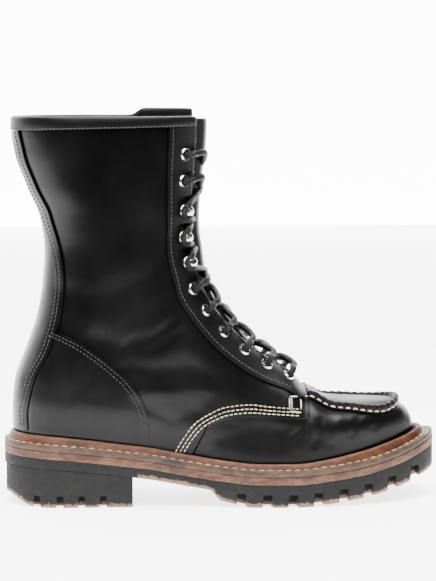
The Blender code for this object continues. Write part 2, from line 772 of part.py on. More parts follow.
def make_tongue(finish, parent):
    first, last = THROAT_ROW - 0.7, LAST_ROW - 0.12
    own = [s for s in upper_sections() if first + 0.2 < s < last - 0.2]
    instep = [s for s in own if s < HEEL_ROW - 2]
    sections = [first, *instep, *own[len(instep) + 1::3], last]
    depth = -(LAP_STEP + WALL + TONGUE_GAP)

    def runs(s, side):
        size = length_of(s, side, False)
        edge = form("gap", s) * THROAT_GAP / 2
        return [size - d for d in (TONGUE_HALF, edge + 3.5, 0.85 * edge, 0.45 * edge, 0)]

    def crowned(s, side, k):
        """The tongue's middle stands forward between the lacing edges."""
        risen = blend((s - THROAT_ROW - 0.6) / 3)
        return depth + TONGUE_CROWN * risen * (0, 0, 0.08, 0.8, 1)[k]

    return sheet("tongue", (OUTER, INNER), sections, runs, crowned, -TONGUE,
                 finish, parent, laced=False)


# The plug of the moccasin toe and its raised seam
@lru_cache(maxsize=None)
def top_line():
    """Sections of the toe, and the places along X where they end."""
    s = np.linspace(0, THROAT_ROW, 281)
    x = np.array([section_ends(float(v))[1][0] for v in s])
    return x[::-1], s[::-1]


def top_point(x, y, out):
    """The point of the vamp's top over a place in plan, moved outwards."""
    s = float(np.interp(x, *top_line()))
    side = OUTER if y < centre_y(x) else INNER
    points, run = half_section(s, side)
    reach = np.abs(points[:, 1] - centre_y(points[:, 0]))
    top = np.argmax(reach)
    a = np.interp(-abs(y - centre_y(x)), -reach[top:], run[top:])
    return surface(s, side, a, out)


def plug_half(x, inset=0.0):
    """Half width of the plug, or of the same outline a little smaller."""
    start = section_ends(THROAT_ROW)[1][0]
    narrow = 0.86 + 0.14 * blend((x - start) / 20)
    nose = rounded((APRON_END - inset - x) / (APRON_ROUND - inset), 2.3)
    return (APRON_HALF * narrow - inset) * nose


def plug_stations(count, inset=0.0):
    start = section_ends(THROAT_ROW)[1][0] - 1.5
    t = np.sin(np.linspace(0, math.pi / 2, count))
    return start + (APRON_END - inset - 0.15 - start) * t


def make_apron(finish, parent):
    points, faces = [], []
    inside = MOC_RIDGE_WIDTH / 2 + APRON_GAP
    places = plug_stations(11, inside)[:-1]
    across = np.linspace(-1, 1, 7)
    for x in places:
        half = plug_half(x, inside)
        for level in (APRON_GAP, APRON_GAP + APRON_THICKNESS):
            for v in across:
                y = centre_y(x) + v * half
                points.append(top_point(x, y, level - LAP_STEP))
    row = 2 * len(across)
    for i in range(len(places) - 1):
        for level in (0, len(across)):
            for k in range(len(across) - 1):
                a, b = i * row + level + k, (i + 1) * row + level + k
                faces.append((a, a + 1, b + 1, b))
        for k in (0, len(across) - 1):
            a, b = i * row + k, (i + 1) * row + k
            faces.append((a, b, b + len(across), a + len(across)))
    for i in (0, len(places) - 1):
        for k in range(len(across) - 1):
            a = i * row + k
            faces.append((a, a + 1, a + 1 + len(across), a + len(across)))
    return add_object("apron", points, faces, finish, parent)


def make_moc_seam(finish, parent):
    places = plug_stations(13)
    line = [(x, centre_y(x) - plug_half(x)) for x in places]
    line += [(x, centre_y(x) + plug_half(x)) for x in places[::-1]]
    line = np.array(line)
    along = np.gradient(line, axis=0)
    out = np.c_[along[:, 1], -along[:, 0]]
    out /= np.linalg.norm(out, axis=1)[:, None]
    half, height = MOC_RIDGE_WIDTH / 2, MOC_RIDGE_HEIGHT
    profile = (
        (-half, 0.0), (half, 0.0), (half, 0.72 * height),
        (0.45 * half, height), (-0.45 * half, height), (-half, 0.72 * height),
    )
    points, faces = [], []
    for (x, y), (nx, ny) in zip(line, out):
        for d, h in profile:
            points.append(top_point(x + nx * d, y + ny * d, APRON_GAP + h - LAP_STEP))
    count = len(profile)
    for i in range(len(line) - 1):
        for k in range(count):
            n = (k + 1) % count
            a, b = i * count, (i + 1) * count
            faces.append((a + k, a + n, b + n, b + k))
    faces += [tuple(range(count)), tuple(len(points) - count + k for k in range(count))]
    return add_object("moc_seam", points, faces, finish, parent)


# The sole
def make_welt(finish, parent):
    """The welt's flange with the rib that stands up against the upper."""
    inner = lambda x: -WELT_IN
    edge = lambda x: WELT_OUT * sole("out", x)
    low = lambda x: midsole_top(x) + GAP
    rib = lambda x: welt_top(x) + rib_height(x)
    profile = (
        (inner, low), (edge, low), (edge, welt_top),
        (lambda x: RIB_GAP + RIB_WIDTH + 1.2, welt_top),
        (lambda x: RIB_GAP + RIB_WIDTH, lambda x: rib(x) - 0.8),
        (lambda x: RIB_GAP, rib), (lambda x: RIB_GAP, welt_top), (inner, welt_top),
    )
    return swept_ring("welt", resampled(feather_outline(), 48), profile, finish, parent)


def make_midsole(finish, parent):
    low = lambda x: rubber_top(x) + GAP
    places = stations(0.15, LENGTH - 0.15, 32)
    return slab("midsole", low, midsole_top, sole_half, places, finish, parent)


def tread_bottom(x):
    """Underside of the long rubber sole: flat under the ball, high under the arch."""
    ball = np.maximum(0.0, sole("spring", x) * TOE_SPRING)
    arch = rubber_top(x) - RUBBER_FLOOR
    step = blend((x / LENGTH - 0.462) / 0.03)
    slope = 4.6 * blend((0.56 - x / LENGTH) / 0.08)
    return (1 - step) * arch + step * np.minimum(ball + slope, arch)


def tread_notches(parent):
    """Wedges between the lugs, from both edges and across the middle."""
    cutters = []
    first = 0.535 * LENGTH
    count = int((0.955 * LENGTH - first) // LUG_PITCH)
    for side in (OUTER, INNER):
        for n in range(count + 1):
            x = first + n * LUG_PITCH + (0 if side == OUTER else 0.35 * LUG_PITCH)
            edge = float(centre_y(x) + side * sole_half(x, side))
            cutters.append(notch(x, edge, side, LUG_NOTCH, NOTCH_REACH, tread_lugs(x)))
    for n in range(count):
        x = first + (n + 0.6) * LUG_PITCH
        middle = float(centre_y(x))
        cutters.append(groove(x, middle, 0.42 * float(sole_half(x, INNER)), tread_lugs(x)))
    return joined_cutter("tread_cutter", cutters, parent)


def tread_lugs(x):
    return float(rubber_top(x)) - RUBBER_FLOOR


def notch(x, edge, side, width, reach, top):
    """Corner points of a wedge that opens to the side and narrows inwards."""
    near, far = edge + side * 6.0, edge - side * reach
    corners = []
    for z, extra in ((-5.0, 1.0), (top, 0.0)):
        for y, half in ((near, width / 2 + extra), (far, width / 3 + extra)):
            corners += [(x - half, y, z), (x + half, y, z)]
    return corners


def groove(x, middle, half, top):
    corners = []
    for z, extra in ((-5.0, 0.8), (top, 0.0)):
        for y in (middle - half, middle + half):
            corners += [(x - 2.6 - extra, y, z), (x + 2.6 + extra, y, z)]
    return corners


def joined_cutter(name, boxes, parent):
    points, faces = [], []
    for corners in boxes:
        n = len(points)
        points += corners
        for face in ((0, 1, 3, 2), (4, 6, 7, 5), (0, 4, 5, 1), (2, 3, 7, 6),
                     (0, 2, 6, 4), (1, 5, 7, 3)):
            faces.append(tuple(n + k for k in face))
    return add_object(name, points, faces, bpy.data.materials[0], parent)


def make_outsole(finish, parent):
    places = np.r_[
        stations(0.15, 0.455 * LENGTH, 20, 0.5),
        np.linspace(0.464, 0.50, 5) * LENGTH,
        stations(0.515 * LENGTH, LENGTH - 0.15, 24, 0.5),
    ]
    made = slab("outsole", tread_bottom, rubber_top, sole_half, places, finish, parent)
    cut(made, [tread_notches(parent)])
    return made


def heel_bottom(x):
    """Flat, with the worn corner at the very back."""
    return 9.0 * blend((26.0 - x) / 26.0) ** 1.6


def make_heel(finish, parent):
    high = lambda x: rubber_top(x) - RUBBER_FLOOR - GAP
    places = stations(1.2, HEEL_BREAST, 18, 0.7)
    made = slab("heel", heel_bottom, high, sole_half, places, finish, parent)
    boxes = []
    for side in (OUTER, INNER):
        for share in HEEL_NOTCHES:
            x = share * HEEL_BREAST
            edge = side * float(sole_half(x, side))
            boxes.append(notch(x, edge, side, HEEL_NOTCH, 10.0, 8.0))
    cut(made, [joined_cutter("heel_cutter", boxes, parent)])
    return made


def make_insole(finish, parent):
    inset = WALL + LAP_STEP + INSOLE_GAP
    heel, toe = feather_ends(inset)
    half = lambda x, side: feather_half(x, side, inset)
    low = lambda x: seat(x)
    high = lambda x: seat(x) + INSOLE
    places = stations(heel + 0.3, toe - 0.3, 26)
    return slab("insole", low, high, half, places, finish, parent)


# Lacing
@lru_cache(maxsize=None)
def lacing_sections():
    places = []
    for share, kind in LACING_ROWS:
        height = TOE_TOP + share * (SHAFT_TOP - TOE_TOP)
        s = np.linspace(THROAT_ROW + 0.1, LAST_ROW, 400)
        inset = EYELET_INSET if kind == "eyelet" else HOOK_INSET
        z = [bare_point(v, OUTER, length_of(v, OUTER) - inset)[2] for v in s]
        places.append((float(np.interp(height, z, s)), kind))
    return places


def stud_frame(s, side, inset):
    """Where an eyelet or hook stands on the form, with its outward direction."""
    a = length_of(s, side) - inset
    low, high = surface(s, side, a, 0.0), surface(s, side, a, 1.0)
    return low, high - low


def turned(name, foot, axis, profile, finish, parent, sides=STUD_SIDES):
    """A profile of (radius, height) points turned about an axis."""
    axis = axis / np.linalg.norm(axis)
    first = np.cross(axis, (0.0, 0.0, 1.0))
    first /= np.linalg.norm(first)
    second = np.cross(axis, first)
    points, faces = [], []
    count = len(profile)
    for n in range(sides):
        angle = 2 * math.pi * n / sides
        spoke = first * math.cos(angle) + second * math.sin(angle)
        points += [foot + spoke * r + axis * h for r, h in profile]
    for n in range(sides):
        m = (n + 1) % sides
        for k in range(count):
            j = (k + 1) % count
            faces.append((n * count + k, n * count + j, m * count + j, m * count + k))
    return add_object(name, points, faces, finish, parent)


def solid_turned(name, foot, axis, profile, finish, parent, sides=STUD_SIDES):
    """The same, closed on the axis at both ends of the profile."""
    made = turned(name, foot, axis, profile, finish, parent, sides)
    edit = bmesh.new()
    edit.from_mesh(made.data)
    bmesh.ops.remove_doubles(edit, verts=edit.verts, dist=1e-6)
    bmesh.ops.recalc_face_normals(edit, faces=edit.faces)
    edit.to_mesh(made.data)
    edit.free()
    return made


def make_lacing(uppers, metal, parent):
    """Eyelets and hooks, and the holes for the eyelets."""
    holes = []
    hole = EYELET_HOLE / 2 + EYELET_WALL + GAP
    top = GAP + OVERLAY + STUD_GAP
    for n, (s, kind) in enumerate(lacing_sections()):
        for side in (OUTER, INNER):
            inset = EYELET_INSET if kind == "eyelet" else HOOK_INSET
            foot, axis = stud_frame(s, side, inset)
            name = f"{kind}_{'outer' if side == OUTER else 'inner'}_{n + 1}"
            if kind == "eyelet":
                bore, outer = EYELET_HOLE / 2, EYELET_OUTER / 2
                profile = (
                    (bore, -WALL), (bore + EYELET_WALL, -WALL),
                    (bore + EYELET_WALL, top), (outer, top),
                    (bore + EYELET_WALL, top + EYELET_FLANGE),
                )
                turned(name, foot, axis, profile, metal, parent)
                holes.append(cylinder(foot, axis, hole, -WALL - 3, top + 2))
            else:
                base, head = HOOK_BASE / 2, HOOK_HEAD / 2
                profile = (
                    (0, top), (base, top), (base, top + 0.8), (0.3 * head, top + 1.3),
                    (0.3 * head, top + HOOK_HEIGHT - 1), (head, top + HOOK_HEIGHT - 0.8),
                    (0.8 * head, top + HOOK_HEIGHT), (0, top + HOOK_HEIGHT),
                )
                solid_turned(name, foot, axis, profile, metal, parent)
    cutter = merged_cutter("eyelet_cutter", holes, parent)
    for piece in uppers:
        cut(piece, [cutter])


def cylinder(foot, axis, radius, low, high, sides=STUD_SIDES):
    first = np.cross(axis, (0.0, 0.0, 1.0))
    first /= np.linalg.norm(first)
    second = np.cross(axis, first)
    rings = []
    for h in (low, high):
        for n in range(sides):
            angle = 2 * math.pi * n / sides
            spoke = first * math.cos(angle) + second * math.sin(angle)
            rings.append(foot + axis * h + spoke * radius)
    return rings


def merged_cutter(name, prisms, parent):
    points, faces = [], []
    for rings in prisms:
        n, half = len(points), len(rings) // 2
        points += rings
        for k in range(half):
            m = (k + 1) % half
            faces.append((n + k, n + m, n + half + m, n + half + k))
        faces.append(tuple(n + k for k in range(half)))
        faces.append(tuple(n + half + k for k in range(half)))
    return add_object(name, points, faces, bpy.data.materials[0], parent)


def lace_point(s, side):
    """Where the lace passes over the lacing edge."""
    a = length_of(s, side) - LACE_INSET
    return surface(s, side, a, GAP + OVERLAY + LACE / 2 + LACE_GAP)


def make_lace(finish, parent):
    """The lace's crossings between the lacing edges, joined where they meet."""
    rows = [s for s, _ in lacing_sections()]
    rising = {OUTER: [], INNER: []}
    for low, high in zip(rows, rows[1:]):
        for side in (OUTER, INNER):
            rising[side].append(bowed(lace_point(low, side), lace_point(high, -side)))
    first_bar = bowed(lace_point(rows[0], OUTER), lace_point(rows[0], INNER))
    made = tubes("lace", rising[OUTER], finish, parent)
    for name, routes in (("lace_rising", rising[INNER]), ("lace_first", [first_bar])):
        other = tubes(name, routes, finish, parent)
        other.hide_render = True
        other.display_type = "WIRE"
        join = made.modifiers.new("Join", "BOOLEAN")
        join.operation = "UNION"
        join.solver = "EXACT"
        join.object = other
    return made


def bowed(first, last):
    """A crossing's route, raised over the tongue and a little longer at its ends."""
    up = forward(first, last)
    along = (last - first) / np.linalg.norm(last - first)
    first, last = first - along * LACE / 4, last + along * LACE / 4
    return [first + (last - first) * t + up * LACE_BOW * rise
            for t, rise in ((0, 0), (0.3, 1), (0.7, 1), (1, 0))]


def forward(first, last):
    """The way out of the throat between two points of the lace."""
    height = (first[2] + last[2]) / 2
    rows = [s for s, _ in lacing_sections()]
    fronts = [section_ends(s)[1] for s in np.linspace(rows[0], LAST_ROW, 60)]
    x = np.array([p[0] for p in fronts])
    z = np.array([p[1] for p in fronts])
    i = int(np.clip(np.searchsorted(z, height), 2, len(z) - 3))
    way = np.array([z[i + 2] - z[i - 2], 0.0, x[i - 2] - x[i + 2]])
    return way / np.linalg.norm(way)


def tubes(name, routes, finish, parent):
    """Round cords along the routes' points, which don't touch each other."""
    points, faces = [], []
    for route in routes:
        route = np.array(route)
        along = route[-1] - route[0]
        along /= np.linalg.norm(along)
        first = np.cross(along, forward(route[0], route[-1]))
        second = np.cross(first, along)
        start = len(points)
        for middle in route:
            for k in range(LACE_SIDES):
                angle = 2 * math.pi * k / LACE_SIDES
                spoke = first * math.cos(angle) + second * math.sin(angle)
                points.append(middle + spoke * LACE / 2)
        for i in range(len(route) - 1):
            for k in range(LACE_SIDES):
                m = (k + 1) % LACE_SIDES
                a, b = start + i * LACE_SIDES, start + (i + 1) * LACE_SIDES
                faces.append((a + k, a + m, b + m, b + k))
        last = start + (len(route) - 1) * LACE_SIDES
        faces += [tuple(start + k for k in range(LACE_SIDES)),
                  tuple(last + k for k in range(LACE_SIDES))]
    return add_object(name, points, faces, finish, parent)


def clear_scene():
    for old in list(bpy.data.objects):
        bpy.data.objects.remove(old, do_unlink=True)


def main():
    clear_scene()
    root = bpy.data.objects.new("boot", None)
    bpy.context.collection.objects.link(root)
    black = material("black_leather", (0.012, 0.012, 0.013), 0.38)
    waxed = material("waxed_leather", (0.016, 0.016, 0.017), 0.5)
    plug = material("plug_leather", (0.02, 0.02, 0.022), 0.45)
    brown = material("brown_leather", (0.16, 0.07, 0.035), 0.6)
    tan = material("tan_leather", (0.34, 0.2, 0.11), 0.7)
    rubber = material("black_rubber", (0.025, 0.025, 0.025), 0.8)
    nickel = material("nickel", (0.72, 0.72, 0.7), 0.3, 1.0)
    cord = material("lace", (0.01, 0.01, 0.01), 0.7)

    upper = make_upper(black, root)
    eyestays = [make_eyestay(side, waxed, root) for side in (OUTER, INNER)]
    make_collar_band(waxed, root)
    make_backstay(waxed, root)
    for side in (OUTER, INNER):
        make_counter(side, black, root)
    make_apron(plug, root)
    make_moc_seam(plug, root)
    make_tongue(waxed, root)
    make_insole(tan, root)
    make_welt(brown, root)
    make_midsole(brown, root)
    make_outsole(rubber, root)
    make_heel(rubber, root)
    make_lacing([upper, *eyestays], nickel, root)
    make_lace(cord, root)


main()
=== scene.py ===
import math
from functools import lru_cache

import bpy
import numpy as np
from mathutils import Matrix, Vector
from mathutils.bvhtree import BVHTree


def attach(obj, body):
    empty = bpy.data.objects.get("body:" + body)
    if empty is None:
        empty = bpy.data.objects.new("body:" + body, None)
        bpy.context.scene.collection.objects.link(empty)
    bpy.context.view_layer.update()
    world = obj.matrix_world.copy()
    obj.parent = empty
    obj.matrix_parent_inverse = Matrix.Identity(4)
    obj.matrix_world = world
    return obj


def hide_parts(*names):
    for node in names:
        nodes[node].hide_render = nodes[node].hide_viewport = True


# Sizes are millimetres until a mesh is set. X runs from heel to toe from the back of the
# outsole, Y from the outer side at minus to the inner side at plus, and Z is up.

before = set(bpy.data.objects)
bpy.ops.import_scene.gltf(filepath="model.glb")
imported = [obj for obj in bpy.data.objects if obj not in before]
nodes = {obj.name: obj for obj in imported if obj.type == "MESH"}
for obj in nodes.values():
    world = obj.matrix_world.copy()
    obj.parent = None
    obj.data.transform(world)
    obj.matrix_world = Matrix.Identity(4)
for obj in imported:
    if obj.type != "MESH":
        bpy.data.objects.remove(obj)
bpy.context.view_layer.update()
mm = 0.001

# The sizes of the last, the sole and what lies on them, as in the part's own source
boot = {
    "gap": 0.3, "length": 308.0, "ballWidth": 104.0, "shaftTop": 271.0, "toeTop": 80.0,
    "shaftWidth": 78.0, "noseRound": 40.0, "backRound": 46.0, "wall": 2.4, "throatGap": 36.0,
    "lapStep": 1.2, "edgeRise": 50.0,
}
under = {
    "heelHeight": 35.0, "tread": 15.4, "toeSpring": 21.0, "rubberFloor": 6.6, "midsole": 5.2,
    "welt": 4.6, "rib": 3.8, "ribWidth": 3.0, "ribGap": 0.9, "weltOut": 9.0, "weltIn": 7.0,
    "toeOffset": 6.0, "heelRound": 44.0, "toeRound": {-1: 92.0, 1: 70.0},
    "lugPitch": 18.0, "lugNotch": 7.0, "notchReach": 13.0, "heelBreast": 89.0, "heelNotch": 5.0,
}
cover = {
    "overlay": 1.4, "eyestayWidth": 24.0, "backstayReach": 15.0, "collarBand": 8.5,
    "edgeTrim": 0.8, "ribClearance": 1.2, "overlapGap": 1.0, "rim": 0.5,
}
tongueSize = {"tongueHalf": 34.0, "tongue": 3.0, "tongueGap": 1.0, "tongueCrown": 6.5}
plug = {
    "apronHalf": 28.5, "apronThickness": 1.6, "apronEnd": 280.5, "apronRound": 34.0,
    "apronGap": 0.9, "mocRidgeHeight": 4.6, "mocRidgeWidth": 3.6,
}
lacing = {
    "eyeletInset": 10.5, "hookInset": 8.5, "eyeletOuter": 9.5, "eyeletHole": 5.2,
    "hookBase": 9.6, "hookHead": 6.8, "hookHeight": 4.6,
}

soleColumns = ("place", "outer", "inner", "rise", "spring", "rib", "out")
soleRows = (
    (0.00, 0.76, 0.76, 1.00, 0.00, 1.45, 0.90),
    (0.09, 0.76, 0.76, 0.94, 0.00, 1.45, 0.88),
    (0.17, 0.76, 0.74, 0.84, 0.00, 1.35, 0.90),
    (0.25, 0.76, 0.72, 0.69, 0.00, 1.25, 0.95),
    (0.33, 0.77, 0.68, 0.53, 0.00, 1.20, 1.00),
    (0.42, 0.81, 0.65, 0.28, 0.00, 1.15, 1.00),
    (0.50, 0.89, 0.67, 0.10, 0.00, 1.08, 1.00),
    (0.58, 0.97, 0.78, 0.00, 0.00, 1.00, 1.00),
    (0.66, 1.02, 0.90, 0.00, 0.00, 1.00, 1.03),
    (0.73, 1.03, 0.98, 0.00, 0.09, 1.15, 1.08),
    (0.82, 1.02, 1.00, 0.00, 0.26, 1.55, 1.16),
    (0.90, 1.00, 1.00, 0.00, 0.52, 1.70, 1.25),
    (0.96, 1.00, 1.00, 0.00, 0.82, 1.55, 1.32),
    (1.00, 1.00, 1.00, 0.00, 1.05, 1.45, 1.36),
)
formColumns = (
    "low", "back", "backX", "frontX", "toe", "leg",
    "swell", "outer", "inner", "nose", "power", "gap", "stay",
)
formRows = (
    (0.998, 0.000, 0.031, 0.9568, 0.17, 0.000, 1.02, 0.00, 0.00, 0.55, 2.5, 0.0, 0.70),
    (0.989, 0.000, 0.031, 0.9490, 0.42, 0.000, 1.02, 0.00, 0.00, 0.55, 2.5, 0.0, 0.70),
    (0.975, 0.000, 0.031, 0.9355, 0.60, 0.000, 1.02, 0.00, 0.00, 0.55, 2.6, 0.0, 0.70),
    (0.950, 0.000, 0.031, 0.9130, 0.71, 0.000, 1.02, 0.00, 0.00, 0.55, 2.8, 0.0, 0.70),
    (0.905, 0.000, 0.031, 0.8700, 0.74, 0.000, 1.02, 0.00, 0.00, 0.56, 3.0, 0.0, 0.70),
    (0.840, 0.000, 0.031, 0.8100, 0.77, 0.000, 1.02, 0.00, 0.00, 0.58, 3.0, 0.0, 0.70),
    (0.770, 0.000, 0.031, 0.7460, 0.82, 0.000, 1.01, 0.00, 0.00, 0.66, 2.8, 0.0, 0.70),
    (0.705, 0.000, 0.031, 0.6960, 0.97, 0.000, 0.98, 0.00, 0.02, 0.82, 2.5, 0.6, 0.70),
    (0.625, 0.000, 0.031, 0.6540, 1.00, 0.060, 0.86, 0.10, 0.16, 0.96, 2.3, 0.6, 0.70),
    (0.525, 0.000, 0.031, 0.6050, 1.00, 0.115, 0.66, 0.31, 0.38, 1.00, 2.2, 0.66, 0.70),
    (0.415, 0.000, 0.031, 0.5540, 1.00, 0.185, 0.44, 0.55, 0.60, 1.00, 2.1, 0.74, 0.70),
    (0.290, 0.000, 0.031, 0.5070, 1.00, 0.271, 0.22, 0.74, 0.74, 1.00, 2.0, 0.82, 0.70),
    (0.165, 0.000, 0.031, 0.4750, 1.00, 0.351, 0.08, 0.85, 0.84, 1.00, 2.0, 0.9, 0.70),
    (0.070, 0.000, 0.031, 0.4615, 1.00, 0.410, 0.00, 0.89, 0.88, 1.10, 2.0, 0.95, 0.70),
    (0.020, 0.000, 0.031, 0.4555, 1.00, 0.460, 0.00, 0.88, 0.88, 1.20, 2.0, 1.0, 0.70),
    (0.000, 0.000, 0.031, 0.4535, 1.00, 0.487, 0.00, 0.88, 0.88, 1.25, 2.0, 1.0, 0.70),
    (0.000, 0.080, 0.029, 0.4505, 1.00, 0.525, 0.00, 0.88, 0.88, 1.30, 2.0, 1.0, 0.63),
    (0.000, 0.180, 0.035, 0.4455, 1.00, 0.578, 0.00, 0.88, 0.88, 1.35, 2.0, 1.0, 0.80),
    (0.000, 0.285, 0.062, 0.4440, 1.00, 0.634, 0.00, 0.89, 0.89, 1.40, 2.0, 1.0, 1.02),
    (0.000, 0.385, 0.087, 0.4450, 1.00, 0.686, 0.00, 0.91, 0.91, 1.40, 2.0, 1.0, 0.97),
    (0.000, 0.490, 0.100, 0.4475, 1.00, 0.742, 0.00, 0.93, 0.93, 1.45, 2.0, 1.0, 0.90),
    (0.000, 0.590, 0.105, 0.4515, 1.00, 0.795, 0.00, 0.95, 0.95, 1.50, 2.0, 1.0, 0.65),
    (0.000, 0.695, 0.095, 0.4560, 1.00, 0.848, 0.00, 0.97, 0.97, 1.55, 2.0, 1.0, 0.42),
    (0.000, 0.790, 0.065, 0.4595, 1.00, 0.893, 0.00, 0.99, 0.99, 1.60, 2.0, 1.0, 0.38),
    (0.000, 0.890, 0.038, 0.4612, 1.00, 0.940, 0.00, 1.00, 1.00, 1.60, 2.0, 1.0, 0.38),
    (0.000, 0.960, 0.031, 0.4617, 1.00, 0.970, 0.00, 1.00, 1.00, 1.60, 2.0, 1.0, 0.30),
    (0.000, 1.000, 0.030, 0.4617, 1.00, 1.000, 0.00, 1.00, 1.00, 1.60, 2.0, 1.0, 0.26),
)
quarterEdge = (
    (0.420, 0.12), (0.435, 0.32), (0.455, 0.47), (0.479, 0.58), (0.516, 0.68),
    (0.556, 0.73), (0.597, 0.73), (0.638, 0.71), (0.675, 0.69), (0.705, 0.69),
)
counterSeam = (
    (0.05, 1.62), (0.12, 1.56), (0.165, 1.47), (0.205, 1.34),
    (0.262, 1.10), (0.297, 0.90), (0.315, 0.72), (0.326, 0.55),
)
lacingRows = (
    (0.042, "eyelet"), (0.086, "eyelet"), (0.143, "eyelet"), (0.212, "eyelet"),
    (0.293, "eyelet"), (0.374, "eyelet"), (0.470, "hook"), (0.564, "hook"),
    (0.661, "hook"), (0.771, "eyelet"), (0.868, "eyelet"),
)
heelNotches = (0.25, 0.43, 0.60, 0.77)
outerSide, innerSide = sides = (-1, 1)
sideName = {outerSide: "outer", innerSide: "inner"}
lastRow = len(formRows) - 1
heelRow = 15  # the first section that starts on the back line
throatRow = 7.0  # the last section that is closed at the top

@lru_cache(maxsize=None)
def column(rows, names, name):
    return np.array([row[names.index(name)] for row in rows])

# A smooth curve through the rows that never overshoots them.
def smooth(xs, ys, x):
    xs, ys = np.asarray(xs, float), np.asarray(ys, float)
    x = np.clip(x, xs[0], xs[-1])
    step, slope = np.diff(xs), np.diff(ys) / np.diff(xs)
    tangent = np.zeros(len(xs))
    same = slope[:-1] * slope[1:] > 0
    first, second = slope[:-1][same], slope[1:][same]
    tangent[1:-1][same] = 2 * first * second / (first + second)
    tangent[0], tangent[-1] = slope[0], slope[-1]
    i = np.clip(np.searchsorted(xs, x, side="right") - 1, 0, len(xs) - 2)
    t = (x - xs[i]) / step[i]
    return (
        ys[i] * (1 + 2 * t) * (1 - t) ** 2
        + tangent[i] * step[i] * t * (1 - t) ** 2
        + ys[i + 1] * t**2 * (3 - 2 * t)
        - tangent[i + 1] * step[i] * t**2 * (1 - t)
    )

# 0 at an end and 1 from a distance of 1 on, along a quarter of an ellipse.
def rounded(distance, power=2.0):
    d = np.clip(distance, 0, 1)
    return (1 - (1 - d) ** power) ** (1 / power)

# The distance from the first point of a line to each of its points
def runAlong(points):
    return np.r_[0, np.cumsum(np.linalg.norm(np.diff(points, axis=0), axis=1))]

def unit(way):
    return way / np.linalg.norm(way)

def blend(t):
    t = np.clip(t, 0, 1)
    return t * t * (3 - 2 * t)

def sole(name, x):
    return smooth(
        column(soleRows, soleColumns, "place") * boot["length"],
        column(soleRows, soleColumns, name),
        x,
    )

def centreY(x):
    return under["toeOffset"] * blend((x / boot["length"] - 0.55) / 0.45)

def rubberTop(x):
    heel = sole("rise", x) * (under["heelHeight"] - under["tread"])
    return under["tread"] + heel + sole("spring", x) * under["toeSpring"]

def midsoleTop(x):
    return rubberTop(x) + boot["gap"] + under["midsole"]

def weltTop(x):
    return midsoleTop(x) + boot["gap"] + under["welt"]

def ribHeight(x):
    return under["rib"] * sole("rib", x)

# Where the upper stands on the welt
def seat(x):
    return weltTop(x) + boot["gap"]

def soleHalf(x, side):
    toeRound = under["toeRound"][side]
    half = sole(sideName[side], x) * boot["ballWidth"] / 2
    return half * rounded(x / under["heelRound"]) * rounded((boot["length"] - x) / toeRound)

# The outsole's edge: up the outer side to the toe, and back on the inner side.
def soleOutline(steps):
    x = boot["length"] * (1 - np.cos(np.linspace(0, math.pi, steps + 1))) / 2
    outer = np.c_[x, centreY(x) - soleHalf(x, outerSide)]
    inner = np.c_[x, centreY(x) + soleHalf(x, innerSide)]
    return np.r_[outer, inner[-2:0:-1]]

# Middle of the outsole's length and width.
@lru_cache(maxsize=None)
def soleMiddle():
    outline = soleOutline(240)
    return (outline.min(axis=0) + outline.max(axis=0)) / 2

def edgeNormals(points):
    along = np.roll(points, -1, 0) - np.roll(points, 1, 0)
    out = np.c_[along[:, 1], -along[:, 0]]
    return out / np.linalg.norm(out, axis=1)[:, None]

# The foot's edge on the welt, a welt's width inside the outsole's, or a line further in.
@lru_cache(maxsize=None)
def featherOutline(inset=0.0):
    outline = soleOutline(240)
    width = under["weltOut"] * sole("out", outline[:, 0]) + inset
    return outline - edgeNormals(outline) * width[:, None]

# A closed line again, with its points an equal distance apart.
def resampled(points, count):
    closed = np.r_[points, points[:1]]
    run = runAlong(closed)
    at = np.linspace(0, run[-1], count, endpoint=False)
    return np.c_[tuple(np.interp(at, run, closed[:, k]) for k in range(closed.shape[1]))]

@lru_cache(maxsize=None)
def featherEnds(inset=0.0):
    x = featherOutline(inset)[:, 0]
    return float(x.min()), float(x.max())

@lru_cache(maxsize=None)
def featherSide(side, inset=0.0):
    points = featherOutline(inset)
    middle = centreY(points[:, 0])
    kept = points[(points[:, 1] - middle) * side > 0]
    kept = kept[np.argsort(kept[:, 0])]
    heel, toe = featherEnds(inset)
    x = np.r_[heel, kept[:, 0], toe]
    half = np.r_[0, np.abs(kept[:, 1] - centreY(kept[:, 0])), 0]
    return x, half

def featherHalf(x, side, inset=0.0):
    return np.interp(x, *featherSide(side, inset), left=0, right=0)

@lru_cache(maxsize=None)
def form(name, s):
    rows = column(formRows, formColumns, name)
    return float(smooth(np.arange(len(rows)), rows, s))

def backHeight(share):
    heelSeat = seat(featherEnds()[0])
    return heelSeat + share * (boot["shaftTop"] - heelSeat)

# Side-view points where section s starts and ends.
@lru_cache(maxsize=None)
def sectionEnds(s):
    heel, toe = featherEnds()
    if s <= heelRow:
        x = heel + form("low", s) * (toe - heel)
        start = np.array([x, float(seat(x))])
    else:
        x = heel + (form("backX", s) - form("backX", heelRow)) * boot["length"]
        start = np.array([x, float(backHeight(form("back", s)))])
    if s <= throatRow:
        x = min(form("frontX", s) * boot["length"], toe - 0.3)
    else:
        x = form("frontX", s) * boot["length"]
    foot = float(seat(x))
    z = foot + form("toe", s) * (boot["toeTop"] - foot)
    z += form("leg", s) * (boot["shaftTop"] - boot["toeTop"])
    return start, np.array([x, z])

@lru_cache(maxsize=None)
def backLine():
    s = np.linspace(heelRow, lastRow, 80)
    points = np.array([sectionEnds(v)[0] for v in s])
    return points[:, 1], points[:, 0]

